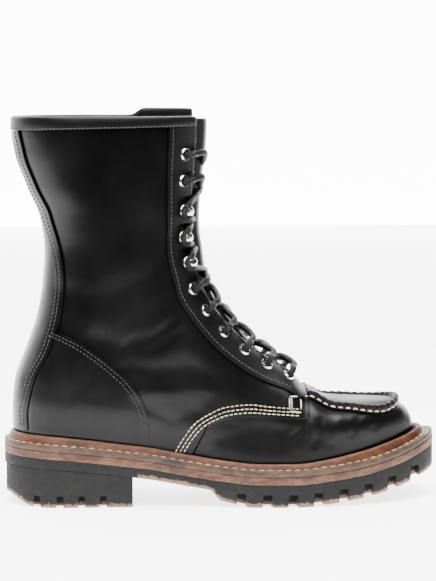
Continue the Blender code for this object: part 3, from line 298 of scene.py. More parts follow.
# Points of one side of a section, with the run from its start to each.
@lru_cache(maxsize=None)
def halfSection(s, side, laced=True):
    start, end = sectionEnds(s)
    size = np.linalg.norm(end - start)
    r = (1 - np.cos(np.linspace(0, math.pi, 161))) / 2
    x = start[0] + (end[0] - start[0]) * r
    z = start[1] + (end[1] - start[1]) * r
    body = form(sideName[side], s) * boot["shaftWidth"] / 2
    body += form("swell", s) * featherHalf(start[0], side)
    nose = min(form("nose", s) * boot["noseRound"], 0.95 * size)
    front = rounded((1 - r) * size / nose, form("power", s))
    high = blend((z - 60) / 150)
    back = rounded((x - np.interp(z, *backLine())) / (boot["backRound"] * (0.8 + 0.2 * high)))
    above = z - seat(x) - ribHeight(x) - 0.5
    share = blend(above / 26)
    half = (1 - share) * featherHalf(x, side) * front + share * body * back * front
    if s >= heelRow:
        half[0] = 0
    half[-1] = 0
    points = np.c_[x, centreY(x) + side * half, z]
    if laced and s > throatRow:
        gap = form("gap", s) * boot["throatGap"] / 2
        last = np.nonzero(half >= gap)[0][-1]
        t = (half[last] - gap) / (half[last] - half[last + 1])
        edge = points[last] + t * (points[last + 1] - points[last])
        points = np.r_[points[: last + 1], edge[None]]
    run = runAlong(points)
    return points, run

def lengthOf(s, side, laced=True):
    return halfSection(s, side, laced)[1][-1]

# The run at which test(points) first turns from true to false.
def runWhere(s, side, test, laced=True):
    points, run = halfSection(s, side, laced)
    value = test(points)
    past = np.nonzero(value <= 0)[0]
    if len(past) == 0:
        return run[-1]
    i = past[0]
    if i == 0:
        return 0.0
    t = value[i - 1] / (value[i - 1] - value[i])
    return run[i - 1] + t * (run[i] - run[i - 1])

def edgeHeight(table, x):
    places = np.array([row[0] for row in table]) * boot["length"]
    return smooth(places, np.array([row[1] for row in table]) * boot["edgeRise"], x)

def underEdge(table):
    return lambda points: (
        seat(points[:, 0]) + edgeHeight(table, points[:, 0]) - points[:, 2]
    )

# The section whose start lies at this share of the outsole's length.
def sectionAtLow(share):
    heel, toe = featherEnds()
    low = (share * boot["length"] - heel) / (toe - heel)
    rows = column(formRows, formColumns, "low")[: heelRow + 1]
    s = np.linspace(0, heelRow, 1501)
    return float(s[np.argmin(np.abs(smooth(np.arange(len(rows)), rows, s) - low))])

quarterRear = sectionAtLow(quarterEdge[0][0])

# The section where the collar band ends.
@lru_cache(maxsize=None)
def bandSection():
    share = 1 - cover["collarBand"] / (boot["shaftTop"] - backHeight(0))
    rows = column(formRows, formColumns, "back")[heelRow:]
    s = np.linspace(0, len(rows) - 1, 1201)
    back = smooth(np.arange(len(rows)), rows, s)
    return heelRow + float(s[np.argmin(np.abs(back - share))])

def ribEdge(places):
    return [(x, float(seat(x) + ribHeight(x)) + cover["ribClearance"]) for x in places]

# Side-view points of the backstay's front edge, from the collar band down.
def stayEdge(margin, count=22):
    s = np.linspace(bandSection() - 0.1, heelRow, count)
    ends = [sectionEnds(float(v))[0] for v in s]
    reach = [form("stay", float(v)) * cover["backstayReach"] + margin for v in s]
    edge = [(p[0] + d, p[1]) for p, d in zip(ends, reach)]
    return [p for p in edge if p[1] > ribEdge([p[0]])[0][1] + 3]

# Places along X, closer together near both ends.
def stations(first, last, count, ends=1.0):
    t = np.linspace(0, 1, count)
    eased = (1 - np.cos(math.pi * t)) / 2
    t = ends * eased + (1 - ends) * t
    return first + (last - first) * t

# Underside of the long rubber sole: flat under the ball, high under the arch.
def treadBottom(x):
    ball = np.maximum(0.0, sole("spring", x) * under["toeSpring"])
    arch = rubberTop(x) - under["rubberFloor"]
    step = blend((x / boot["length"] - 0.462) / 0.03)
    slope = 4.6 * blend((0.56 - x / boot["length"]) / 0.08)
    return (1 - step) * arch + step * np.minimum(ball + slope, arch)

def treadLugs(x):
    return float(rubberTop(x)) - under["rubberFloor"]

cutter = {"beside": 6.0, "below": 5.0, "grooveHalf": 2.6, "heelReach": 10.0, "heelTop": 8.0}

# Corner points of a wedge that opens to the side and narrows inwards.
def notch(x, edge, side, width, reach, top):
    near, far = edge + side * cutter["beside"], edge - side * reach
    corners = []
    for z, extra in ((-cutter["below"], 1.0), (top, 0.0)):
        for y, half in ((near, width / 2 + extra), (far, width / 3 + extra)):
            corners += [(x - half, y, z), (x + half, y, z)]
    return corners

def groove(x, middle, half, top):
    corners = []
    wide = cutter["grooveHalf"]
    for z, extra in ((-cutter["below"], 0.8), (top, 0.0)):
        for y in (middle - half, middle + half):
            corners += [(x - wide - extra, y, z), (x + wide + extra, y, z)]
    return corners

# Flat, with the worn corner at the very back
wornCorner = {"rise": 9.0, "length": 26.0, "power": 1.6}

def heelBottom(x):
    share = blend((wornCorner["length"] - x) / wornCorner["length"])
    return wornCorner["rise"] * share ** wornCorner["power"]

# Sections of the toe, and the places along X where they end.
@lru_cache(maxsize=None)
def topLine():
    s = np.linspace(0, throatRow, 281)
    x = np.array([sectionEnds(float(v))[1][0] for v in s])
    return x[::-1], s[::-1]

# Half width of the plug, or of the same outline a little smaller.
def plugHalf(x, inset=0.0):
    start = sectionEnds(throatRow)[1][0]
    narrow = 0.86 + 0.14 * blend((x - start) / 20)
    nose = rounded((plug["apronEnd"] - inset - x) / (plug["apronRound"] - inset), 2.3)
    return (plug["apronHalf"] * narrow - inset) * nose

def plugStations(count, inset=0.0):
    start = sectionEnds(throatRow)[1][0] - 1.5
    t = np.sin(np.linspace(0, math.pi / 2, count))
    return start + (plug["apronEnd"] - inset - 0.15 - start) * t

# The way out of the throat between two points of the lace.
def forward(first, last):
    height = (first[2] + last[2]) / 2
    rows = [s for s, _ in lacingSections()]
    fronts = [sectionEnds(s)[1] for s in np.linspace(rows[0], lastRow, 60)]
    x = np.array([p[0] for p in fronts])
    z = np.array([p[1] for p in fronts])
    i = int(np.clip(np.searchsorted(z, height), 2, len(z) - 3))
    way = np.array([z[i + 2] - z[i - 2], 0.0, x[i - 2] - x[i + 2]])
    return unit(way)

@lru_cache(maxsize=None)
def lacingSections():
    places = []
    for share, kind in lacingRows:
        height = boot["toeTop"] + share * (boot["shaftTop"] - boot["toeTop"])
        s = np.linspace(throatRow + 0.1, lastRow, 400)
        inset = lacing[kind + "Inset"]
        z = [barePoint(v, outerSide, lengthOf(v, outerSide) - inset)[2] for v in s]
        places.append((float(np.interp(height, z, s)), kind))
    return places

# The point at a run of a along a section, past either end on the other side.
def barePoint(s, side, a, laced=True):
    size = lengthOf(s, side, laced)
    if a < 0 and s >= heelRow:
        side, a = -side, -a
    elif a > size and not (laced and s > throatRow):
        side, a = -side, lengthOf(s, -side, laced) - (a - size)
    points, run = halfSection(s, side, laced)
    return np.array([np.interp(a, run, points[:, k]) for k in range(3)])

# The far front of the collar stands a little higher than the near one
farCollar = {"rise": 5.0, "x": 92, "xBlend": 10, "z": 256, "zBlend": 14}

# A row of points of one side of a section, past either end on the other side
def rowPoints(s, side, runs, laced=True):
    points, run = halfSection(s, side, laced)
    made = np.c_[tuple(np.interp(runs, run, points[:, k]) for k in range(3))]
    behind = (runs < 0) & (s >= heelRow)
    beyond = (runs > run[-1]) & (not (laced and s > throatRow))
    if behind.any():
        made[behind] = rowPoints(s, -side, -runs[behind], laced)
    if beyond.any():
        far = lengthOf(s, -side, laced) - (runs[beyond] - run[-1])
        made[beyond] = rowPoints(s, -side, far, laced)
    if laced and side == innerSide:
        share = blend((made[:, 0] - farCollar["x"]) / farCollar["xBlend"])
        high = blend((made[:, 2] - farCollar["z"]) / farCollar["zBlend"])
        made[:, 2] += farCollar["rise"] * share * high
    return made

def rowNormals(s, side, runs, laced=True):
    size = lengthOf(s, side, laced)
    closed = not (laced and s > throatRow)
    low = np.where((runs > 1) | (s >= heelRow), runs - 1, runs)
    high = np.where(closed | (runs < size - 1), runs + 1, runs)
    around = (rowPoints(s, side, high, laced) - rowPoints(s, side, low, laced)) * side
    lower, upper = max(0.0, s - 0.08), min(float(lastRow), s + 0.08)
    lower = s if lower <= throatRow < s else lower
    upper = s if upper > throatRow >= s else upper
    share = runs / size
    along = rowPoints(upper, side, share * lengthOf(upper, side, laced), laced)
    along = along - rowPoints(lower, side, share * lengthOf(lower, side, laced), laced)
    normal = np.cross(along, around)
    return normal / np.maximum(np.linalg.norm(normal, axis=1), 1e-9)[:, None]

def onForm(s, side, runs, out=0.0, laced=True):
    runs = np.atleast_1d(np.asarray(runs, float))
    out = np.broadcast_to(np.asarray(out, float), runs.shape)
    return rowPoints(s, side, runs, laced) + rowNormals(s, side, runs, laced) * out[:, None]

# Soft troughs and ridges of the worn leather, given in the side view: points of
# each line, its half width, its depth (less than 0 for a ridge) and the sides it is on
creases = (
    (((40, 150), (58, 146), (80, 150), (98, 158)), 7.0, 0.5, (-1, 1)),
    (((44, 136), (64, 133), (88, 138), (106, 148)), 8.0, -0.35, (-1, 1)),
    (((42, 166), (60, 164), (84, 170), (104, 176)), 10.0, -0.3, (-1, 1)),
    (((44, 181), (66, 178), (88, 184), (108, 190)), 11.0, 0.3, (-1, 1)),
    (((60, 118), (84, 112), (104, 118), (122, 128)), 6.0, 1.2, (-1, 1)),
    (((84, 98), (104, 94), (128, 98), (150, 88)), 7.0, 1.0, (-1, 1)),
    (((92, 82), (116, 80), (142, 84)), 6.0, -1.0, (-1, 1)),
    (((100, 68), (118, 60), (134, 66)), 5.0, 0.8, (-1, 1)),
    (((24, 240), (52, 236), (88, 240), (114, 236)), 14.0, 0.5, (-1, 1)),
    (((30, 214), (60, 210), (94, 214), (116, 210)), 12.0, -0.4, (-1, 1)),
    (((152, 46), (176, 50), (204, 50), (228, 46)), 6.0, 0.4, (-1, 1)),
    (((196, 42), (204, 50), (210, 57)), 2.6, 0.5, (-1, 1)),
    (((216, 42), (220, 52), (222, 60)), 2.2, 0.5, (-1, 1)),
    (((230, 46), (234, 56), (236, 63)), 2.4, -0.3, (-1, 1)),
    (((244, 48), (248, 58), (252, 64)), 2.2, 0.4, (-1, 1)),
    (((262, 52), (268, 60), (272, 65)), 2.4, 0.35, (-1, 1)),
)

def lineDistance(points, line):
    near = np.full(len(points), 1e9)
    for (ax, az), (bx, bz) in zip(line, line[1:]):
        a, b = np.array([ax, az], float), np.array([bx, bz], float)
        t = np.clip(((points - a) @ (b - a)) / ((b - a) @ (b - a)), 0, 1)
        near = np.minimum(near, np.linalg.norm(points - a - t[:, None] * (b - a), axis=1))
    return near

def creased(points, side):
    flat = points[:, [0, 2]]
    depth = np.zeros(len(points))
    for line, width, deep, sides in creases:
        if side in sides:
            depth += deep * np.exp(-((lineDistance(flat, line) / width) ** 2))
    return -depth

coverTop = boot["gap"] + cover["overlay"]  # the outside of what lies on the skin

# Meshes
def gridPiece(name, points):
    points = np.asarray(points, float)
    rows, columns = points.shape[:2]
    bpy.ops.object.select_all(action="DESELECT")
    bpy.ops.mesh.primitive_grid_add(x_subdivisions=columns - 1, y_subdivisions=rows - 1)
    made = bpy.context.object
    made.name = name
    made.data.name = name
    made.data.vertices.foreach_set("co", toRow(points.reshape(-1, 3)).ravel())
    made.data.update()
    return made

def toRow(points):
    return (np.asarray(points, float) - np.r_[soleMiddle(), 0]) * mm

def only(piece):
    bpy.ops.object.select_all(action="DESELECT")
    piece.select_set(True)
    bpy.context.view_layer.objects.active = piece

def edited(piece, *steps):
    only(piece)
    bpy.ops.object.mode_set(mode="EDIT")
    bpy.ops.mesh.select_all(action="SELECT")
    for step in steps:
        step()
    bpy.ops.object.mode_set(mode="OBJECT")
    return piece

def closedUp(piece, distance=2e-5):
    return edited(
        piece,
        lambda: bpy.ops.mesh.remove_doubles(threshold=distance),
        lambda: bpy.ops.mesh.dissolve_degenerate(threshold=1e-6),
        lambda: bpy.ops.mesh.select_all(action="SELECT"),
        lambda: bpy.ops.mesh.normals_make_consistent(inside=False),
    )

def facing(piece, normals):
    found = np.zeros(len(piece.data.vertices) * 3)
    piece.data.vertices.foreach_get("normal", found)
    if (found.reshape(-1, 3) * np.asarray(normals).reshape(-1, 3)).sum() < 0:
        edited(piece, bpy.ops.mesh.flip_normals)
    return piece

def joined(name, pieces, distance=2e-5):
    bpy.ops.object.select_all(action="DESELECT")
    for piece in pieces:
        piece.select_set(True)
    bpy.context.view_layer.objects.active = pieces[0]
    bpy.ops.object.join()
    pieces[0].name = name
    pieces[0].data.name = name
    return edited(pieces[0], lambda: bpy.ops.mesh.remove_doubles(threshold=distance))

def bevelled(piece, width, degrees, segments=3):
    return changed(piece, "BEVEL", width=width * mm, segments=segments, limit_method="ANGLE",
                   angle_limit=math.radians(degrees))

def changed(piece, kind, **values):
    only(piece)
    made = piece.modifiers.new(kind.title(), kind)
    for name, value in values.items():
        setattr(made, name, value)
    bpy.ops.object.modifier_apply(modifier=made.name)
    return piece

def smoothed(piece, degrees=38):
    only(piece)
    bpy.ops.object.shade_smooth_by_angle(angle=math.radians(degrees))
    return piece

def placed(piece, finish, replaced=()):
    if finish is not None:
        piece.data.materials.clear()
        for made in finish if isinstance(finish, (list, tuple)) else [finish]:
            piece.data.materials.append(made)
    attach(piece, "root")
    if replaced:
        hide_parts(*replaced)
    return piece

def walled(piece, thickness, rim=0.35, segments=2, **more):
    changed(piece, "SOLIDIFY", thickness=thickness * mm, offset=-1, use_even_offset=True,
            use_quality_normals=True, **more)
    return smoothed(bevelled(piece, rim, 50, segments))

# Materials
def shader(name, colour, roughness, metallic=0.0, shine=0.5):
    made = bpy.data.materials.new(name)
    made.use_nodes = True
    base = made.node_tree.nodes["Principled BSDF"]
    base.inputs["Base Color"].default_value = (*colour, 1)
    base.inputs["Roughness"].default_value = roughness
    base.inputs["Metallic"].default_value = metallic
    base.inputs["Specular IOR Level"].default_value = shine
    return made

def node(made, kind, inputs=(), **values):
    new = made.node_tree.nodes.new(kind)
    for name, value in values.items():
        setattr(new, name, value)
    for name, value in dict(inputs).items():
        fed(made, new.inputs[name], value)
    return new

def fed(made, socket, value):
    if hasattr(value, "is_output"):
        made.node_tree.links.new(value, socket)
    else:
        socket.default_value = value

def place(made, scale=(1, 1, 1), turn=(0, 0, 0)):
    at = node(made, "ShaderNodeTexCoord").outputs["Object"]
    return node(made, "ShaderNodeMapping", {"Vector": at, "Scale": scale,
                "Rotation": turn}).outputs["Vector"]

def noise(made, scale, detail=3.0, rough=0.5, stretch=(1, 1, 1), turn=(0, 0, 0)):
    return node(made, "ShaderNodeTexNoise", {"Vector": place(made, stretch, turn),
                "Scale": scale, "Detail": detail, "Roughness": rough}).outputs["Fac"]

def cells(made, scale, feature="DISTANCE_TO_EDGE", stretch=(1, 1, 1), random=1.0):
    return node(made, "ShaderNodeTexVoronoi", {"Vector": place(made, stretch),
                "Scale": scale, "Randomness": random}, feature=feature).outputs["Distance"]

def ranged(made, value, low, high, first=0.0, last=1.0):
    return node(made, "ShaderNodeMapRange", {"Value": value, "From Min": low,
                "From Max": high, "To Min": first, "To Max": last}).outputs["Result"]

def sums(made, operation, a, b):
    new = node(made, "ShaderNodeMath", operation=operation)
    for k, value in enumerate((a, b)):
        fed(made, new.inputs[k], value)
    return new.outputs[0]

def mixed(made, share, first, second):
    new = node(made, "ShaderNodeMix", data_type="RGBA")
    for key, value in (("Factor", share), ("A", first), ("B", second)):
        socket = next(s for s in new.inputs if s.name == key and s.enabled)
        fed(made, socket, (*value, 1) if isinstance(value, tuple) else value)
    return next(s for s in new.outputs if s.enabled)

def bumped(made, layers):
    normal = None
    for height, strength, distance in layers:
        inputs = {"Height": height, "Strength": strength, "Distance": distance * mm}
        if normal is not None:
            inputs["Normal"] = normal
        normal = node(made, "ShaderNodeBump", inputs).outputs["Normal"]
    setTo(made, "Normal", normal)

def setTo(made, name, value):
    made.node_tree.links.new(value, made.node_tree.nodes["Principled BSDF"].inputs[name])

def smoothLeather(name, colour, low, high, shine, worn=0.35):
    made = shader(name, colour, low, shine=shine)
    patches = noise(made, 26, 4, 0.55, (1, 1, 0.7))
    setTo(made, "Roughness", ranged(made, patches, 0.35, 0.7, low, high))
    tint = mixed(made, ranged(made, noise(made, 60, 6, 0.7), 0.5, 0.78, 0, worn),
                 colour, tuple(2.4 * c + 0.002 for c in colour))
    setTo(made, "Base Color", tint)
    grain = ranged(made, cells(made, 1100), 0.0, 0.35)
    wrinkle = noise(made, 95, 4, 0.6, (1, 1, 2.0))
    bumped(made, ((noise(made, 34, 3, 0.5), 0.35, 1.6), (wrinkle, 0.16, 0.7),
                  (grain, 0.08, 0.1)))
    return made

def vampLeather(name, colour):
    made = shader(name, colour, 0.7, shine=0.16)
    cracks = ranged(made, cells(made, 105, stretch=(1.6, 1, 0.7)), 0.0, 0.07)
    some = ranged(made, noise(made, 36, 3, 0.5), 0.46, 0.6)
    blisters = noise(made, 190, 4, 0.6)
    broken = sums(made, "MAXIMUM", cracks, sums(made, "SUBTRACT", 1.0, some))
    setTo(made, "Roughness", ranged(made, blisters, 0.3, 0.7, 0.5, 0.78))
    tint = mixed(made, ranged(made, blisters, 0.5, 0.75, 0, 0.5), colour,
                 tuple(1.8 * c + 0.002 for c in colour))
    # The crack lines are painted darker: partly the cracked finish's own colour, partly painted
    # shade in the cracks
    setTo(made, "Base Color", mixed(made, broken, tuple(0.3 * c for c in colour), tint))
    bumped(made, ((noise(made, 50, 3), 0.3, 1.2), (broken, 1.0, 1.3), (blisters, 0.8, 1.0),
                  (noise(made, 700, 2), 0.25, 0.15)))
    return made

def brownLeather(name, colour, pale, dark):
    made = shader(name, colour, 0.55, shine=0.3)
    streak = noise(made, 90, 6, 0.7, (1, 1, 3))
    fine = noise(made, 600, 4, 0.7)
    tint = mixed(made, ranged(made, streak, 0.42, 0.72, 0, 0.85), colour, pale)
    tint = mixed(made, ranged(made, noise(made, 45, 4), 0.55, 0.75, 0, 0.7), tint, dark)
    setTo(made, "Base Color", tint)
    setTo(made, "Roughness", ranged(made, fine, 0.3, 0.7, 0.45, 0.75))
    bumped(made, ((streak, 0.4, 0.5), (fine, 0.5, 0.25)))
    return made

def blackRubber(name):
    made = shader(name, (0.006, 0.006, 0.006), 0.7, shine=0.2)
    base = node(made, "ShaderNodeAttribute", attribute_name="base").outputs["Fac"]
    at = node(made, "ShaderNodeTexCoord").outputs["Object"]
    height = node(made, "ShaderNodeSeparateXYZ", {"Vector": at}).outputs["Z"]
    worn = ranged(made, sums(made, "SUBTRACT", height, base), 0.0, 4.5 * mm, 1.0, 0.0)
    ragged = noise(made, 260, 6, 0.75)
    share = ranged(made, sums(made, "ADD", worn, sums(made, "MULTIPLY", ragged, 2.2)), 1.45, 1.75)
    dust = ranged(made, noise(made, 70, 6, 0.7), 0.52, 0.8, 0, 0.12)
    tint = mixed(made, dust, (0.006, 0.006, 0.006), (0.06, 0.05, 0.04))
    setTo(made, "Base Color", mixed(made, share, tint, (0.16, 0.105, 0.068)))
    setTo(made, "Roughness", ranged(made, ragged, 0.3, 0.7, 0.62, 0.88))
    bumped(made, ((noise(made, 110, 5, 0.65), 0.4, 0.7), (ragged, 0.5, 0.3)))
    return made

def soiledThread(name, scale, clean, soiled):
    made = shader(name, clean, 0.7)
    share = ranged(made, noise(made, scale, 4), 0.4, 0.7)
    setTo(made, "Base Color", mixed(made, share, clean, soiled))
    return made

black = smoothLeather("gloss_leather", (0.0012, 0.0013, 0.0012), 0.3, 0.42, 0.16)
facingLeather = smoothLeather("facing_leather", (0.002, 0.0022, 0.0021), 0.42, 0.52, 0.14)
vamp = vampLeather("vamp_leather", (0.0055, 0.0055, 0.0057))
plugLeather = smoothLeather("worn_plug_leather", (0.0025, 0.0025, 0.0025), 0.45, 0.6, 0.1, 0.6)
tongueLeather = smoothLeather("soft_leather", (0.003, 0.003, 0.003), 0.45, 0.6, 0.15)
lining = shader("lining", (0.62, 0.55, 0.42), 0.8)
bumped(lining, ((noise(lining, 300, 3), 0.3, 0.3),))
ribLeather = brownLeather("rib_leather", (0.045, 0.013, 0.005), (0.13, 0.046, 0.016),
                          (0.005, 0.003, 0.002))
edgeLeather = brownLeather("edge_leather", (0.026, 0.012, 0.007), (0.1, 0.052, 0.03),
                           (0.006, 0.003, 0.002))
soleLeather = brownLeather("layer_leather", (0.042, 0.015, 0.008), (0.15, 0.074, 0.042),
                           (0.01, 0.005, 0.003))
tan = brownLeather("tan_leather", (0.34, 0.2, 0.11), (0.4, 0.26, 0.15), (0.2, 0.12, 0.07))
rubber = blackRubber("scuffed_rubber")
nickel = shader("polished_nickel", (0.72, 0.71, 0.68), 0.2, 1.0)
setTo(nickel, "Roughness", ranged(nickel, noise(nickel, 400, 3), 0.35, 0.7, 0.14, 0.34))
blackThread = shader("black_thread", (0.006, 0.006, 0.006), 0.5)
# Black thread painted grey: the lighter colour is a painted highlight standing in for the sheen on
# the black stitches
greyThread = shader("grey_thread_painted_highlight", (0.022, 0.022, 0.021), 0.55)
creamThread = soiledThread("cream_thread", 180, (0.62, 0.52, 0.38), (0.25, 0.19, 0.13))
goldThread = soiledThread("gold_thread", 200, (0.52, 0.37, 0.18), (0.16, 0.09, 0.045))
print("materials made")

# The upper's skin: vamp, quarters and shaft
skin = {"vamp": 30, "quarter": 18, "facing": 12, "rimRound": 0.7}

def lowerRun(s, side):
    inside = min(max(s, throatRow), quarterRear - 0.02)
    size = lengthOf(inside, side)
    edge = runWhere(inside, side, underEdge(quarterEdge))
    share = min(max(edge / size, 0.03), 0.8)
    share += (0.35 - share) * float(blend((s - quarterRear) / 2))
    return share * lengthOf(s, side)

@lru_cache(maxsize=None)
def skinRuns(s, side):
    low, size = lowerRun(s, side), lengthOf(s, side)
    eyestay = max(size - cover["eyestayWidth"], low + 0.25 * (size - low))
    return np.r_[
        np.linspace(0, low, skin["vamp"] + 1),
        np.linspace(low + 0.8, eyestay, skin["quarter"] + 1),
        np.linspace(eyestay, size, skin["facing"] + 1)[1:],
    ]

def skinOut(s, points, side):
    count = np.arange(len(points))
    if throatRow < s < quarterRear:
        out = np.where(count > skin["vamp"], 0.0, -boot["lapStep"])
    else:
        out = np.full(len(points), -boot["lapStep"] if s <= throatRow else 0.0)
    return out + creased(points, side)

def skinSections():
    toe = [*np.linspace(0, 1, 16)[:-1], *np.linspace(1, throatRow, 56)]
    seam = [quarterRear - 0.02, quarterRear + 0.02]
    waist = list(np.linspace(throatRow + 0.03, quarterRear - 0.1, 44))
    rear = list(np.linspace(quarterRear + 0.12, heelRow - 0.05, 34))
    shaft = list(np.linspace(heelRow, lastRow, 92))
    return [float(s) for s in toe + waist + seam + rear + shaft]

def skinHalf(side):
    rows, normals = [], []
    for s in skinSections():
        runs = skinRuns(s, side)
        base = rowPoints(s, side, runs)
        outward = rowNormals(s, side, runs)
        rows.append(base + outward * skinOut(s, base, side)[:, None])
        normals.append(outward)
    tip = rows[0].copy()
    tip[:, 1] = centreY(tip[:, 0])
    tip[:, 0] += 0.3
    rows.insert(0, tip)
    normals.insert(0, normals[0])
    rows, normals = np.array(rows), np.array(normals)
    sections = [0.0, *skinSections()]
    for i, s in enumerate(sections):  # both halves share these lines
        if s <= throatRow:
            rows[i, -1, 1] = centreY(rows[i, -1, 0])
        if s >= heelRow:
            rows[i, 0, 1] = centreY(rows[i, 0, 0])
    half = facing(gridPiece("upper_skin", rows), normals)
    columns = rows.shape[1] - 1
    kind = np.zeros((rows.shape[0] - 1, columns), int)
    for i, s in enumerate(sections[:-1]):
        if s < throatRow:
            kind[i] = 1
        elif s < quarterRear - 0.02:
            kind[i, : skin["vamp"]] = 1
    half.data.polygons.foreach_set("material_index", kind.ravel())
    return half

upper = joined("upper_skin", [skinHalf(outerSide), skinHalf(innerSide)], 1e-4)
shell = BVHTree.FromPolygons([v.co for v in upper.data.vertices],
                             [tuple(p.vertices) for p in upper.data.polygons])
for made in (black, vamp, lining, lining):
    upper.data.materials.append(made)
walled(upper, boot["wall"], skin["rimRound"] / 2, material_offset=2)
placed(upper, None, ["upper"])
print("skin", len(upper.data.polygons))

# Points of the skin under a side view line, and round the heel
def rowPoint(point):
    return Vector(toRow(np.array([point], float))[0])

def fromRow(point):
    return np.array(point) / mm + np.r_[soleMiddle(), 0]

def sideLine(points, side, out=0.0, step=1.0, far=90.0):
    points = np.array(points, float)
    run = runAlong(points)
    at = np.linspace(0, run[-1], max(2, int(run[-1] / step)))
    line, normals = [], []
    for x, z in zip(np.interp(at, run, points[:, 0]), np.interp(at, run, points[:, 1])):
        hit, normal, _, _ = shell.ray_cast(rowPoint((x, side * far, z)), Vector((0, -side, 0)))
        if hit is not None:
            line.append(fromRow(hit) + np.array(normal) * out)
            normals.append(np.array(normal))
    return np.array(line), np.array(normals)

heelSweep = {"axisIn": 36.0, "reach": 2.75, "steps": 60}

def heelAxis(z):
    return float(np.interp(z, *backLine())) + heelSweep["axisIn"]

def heelHit(z, angle, side):
    start = rowPoint((heelAxis(z), 0, z))
    way = Vector((-math.cos(angle), side * math.sin(angle), 0))
    hit, normal, _, _ = shell.ray_cast(start, way)
    if hit is None:
        return None
    normal = np.array(normal)
    return fromRow(hit), normal if normal @ np.array(way) > 0 else -normal

heelAngles = np.linspace(0, heelSweep["reach"], heelSweep["steps"])

@lru_cache(maxsize=None)
def heelSlice(z, side):
    found = [(a, heelHit(z, a, side)) for a in heelAngles]
    found = [(a, h[0][0]) for a, h in found if h is not None]
    x = np.maximum.accumulate(np.array([f[1] for f in found]))
    return x, np.array([f[0] for f in found])

def heelPoint(x, z, side, out):
    places, angles = heelSlice(round(float(z), 1), side)
    angle = float(np.interp(x, places, angles))
    hit = heelHit(z, angle, side)
    return (hit[0] + hit[1] * out, hit[1]) if hit else None

stayPoints = np.array(sorted((z, x) for x, z in stayEdge(0.0, 120)))
ribPlaces = np.linspace(0, boot["length"], 400)
ribHeights = seat(ribPlaces) + ribHeight(ribPlaces) + cover["ribClearance"]

def stayX(z, margin=0.0):
    return float(np.interp(z, stayPoints[:, 0], stayPoints[:, 1])) + margin

def ribLow(x):
    return float(np.interp(x, ribPlaces, ribHeights))

seamPlaces = np.linspace(counterSeam[0][0], counterSeam[-1][0], 40) * boot["length"]
seamHeights = seat(seamPlaces) + edgeHeight(counterSeam, seamPlaces)

seamOrder = np.argsort(seamHeights)

def seamX(z):
    return float(np.interp(z, seamHeights[seamOrder], seamPlaces[seamOrder]))

# The strip up the back
backstay = {"rows": 110, "columns": 14, "below": 4.0}

def makeBackstay():
    low, high = ribLow(5.0), boot["shaftTop"] - backstay["below"]
    grid, normals = [], []
    for z in np.linspace(low, high, backstay["rows"]):
        row = []
        for t in np.linspace(-1, 1, 2 * backstay["columns"] + 1):
            side = outerSide if t < 0 else innerSide
            edge = heelSlice(round(float(z), 1), side)
            angle = abs(t) * float(np.interp(stayX(z), *edge))
            hit = heelHit(z, angle, side)
            row.append((hit[0] + hit[1] * coverTop, hit[1]))
        grid.append([r[0] for r in row])
        normals.append([r[1] for r in row])
    made = facing(gridPiece("backstay_strip", grid), normals)
    walled(made, cover["overlay"], cover["rim"])
    return placed(made, black, ["backstay"])

makeBackstay()

# The counters on both sides of the heel
counter = {"rows": 34, "columns": 30, "top": 124.0, "front": 101.5, "rounds": 12}

def makeCounter(side):
    grid, normals = [], []
    top = min(seamHeights[0], counter["top"])
    for v in np.linspace(0, 1, counter["rows"]):
        row = []
        for u in np.linspace(0, 1, counter["columns"]):
            x = 20 + 75 * u
            for _ in range(counter["rounds"]):  # the edges depend on the height, and it on them
                z = ribLow(x) + v * (top - ribLow(x))
                rear, front = stayX(z, cover["overlapGap"]), min(seamX(z), counter["front"])
                x = rear + u * max(front - rear, 0.4)
            row.append(heelPoint(x, z, side, coverTop))
        grid.append([r[0] for r in row])
        normals.append([r[1] for r in row])
    made = facing(gridPiece("counter_cover_" + sideName[side], grid), normals)
    walled(made, cover["overlay"], cover["rim"])
    return placed(made, black, ["counter_" + sideName[side]])

for side in sides:
    makeCounter(side)
print("heel pieces made")

# The facings that carry eyelets and hooks
def makeEyestay(side):
    first, final = throatRow + 0.12, bandSection() + 0.3
    grid, normals = [], []
    for s in np.linspace(first, final, 130):
        s = float(s)
        size = lengthOf(s, side)
        wide = skinRuns(s, side)[-1 - skin["facing"]]
        share = min(1.0, (s - first) / 0.8)
        wide = size - cover["edgeTrim"] - (size - wide) * (0.55 + 0.45 * roundedEnd(share))
        runs = np.linspace(wide, size - cover["edgeTrim"], 14)
        base = rowPoints(s, side, runs)
        out = coverTop + creased(base, side)
        normal = rowNormals(s, side, runs)
        grid.append(base + normal * out[:, None])
        normals.append(normal)
    made = facing(gridPiece("facing_" + sideName[side], grid), normals)
    walled(made, cover["overlay"], cover["rim"])
    return placed(made, facingLeather, ["eyestay_" + sideName[side]])

def roundedEnd(share):
    return float(rounded(np.array([share]))[0])

for side in sides:
    makeEyestay(side)

# The bound top edge, folded over the wall
band = {"profile": ((0.0, 0.3, 0.0), (0.0, 1.5, 0.0), (0.06, 2.1, 0.0), (0.5, 2.2, 0.0),
                    (0.95, 2.1, 0.0), (1.0, 1.7, 0.5), (1.0, 0.6, 1.2), (1.0, -1.2, 1.4),
                    (1.0, -3.0, 1.2), (1.0, -3.9, 0.3), (0.8, -4.1, 0.0), (0.1, -4.1, 0.0),
                    (0.0, -3.4, 0.0), (0.0, -2.7, 0.0))}

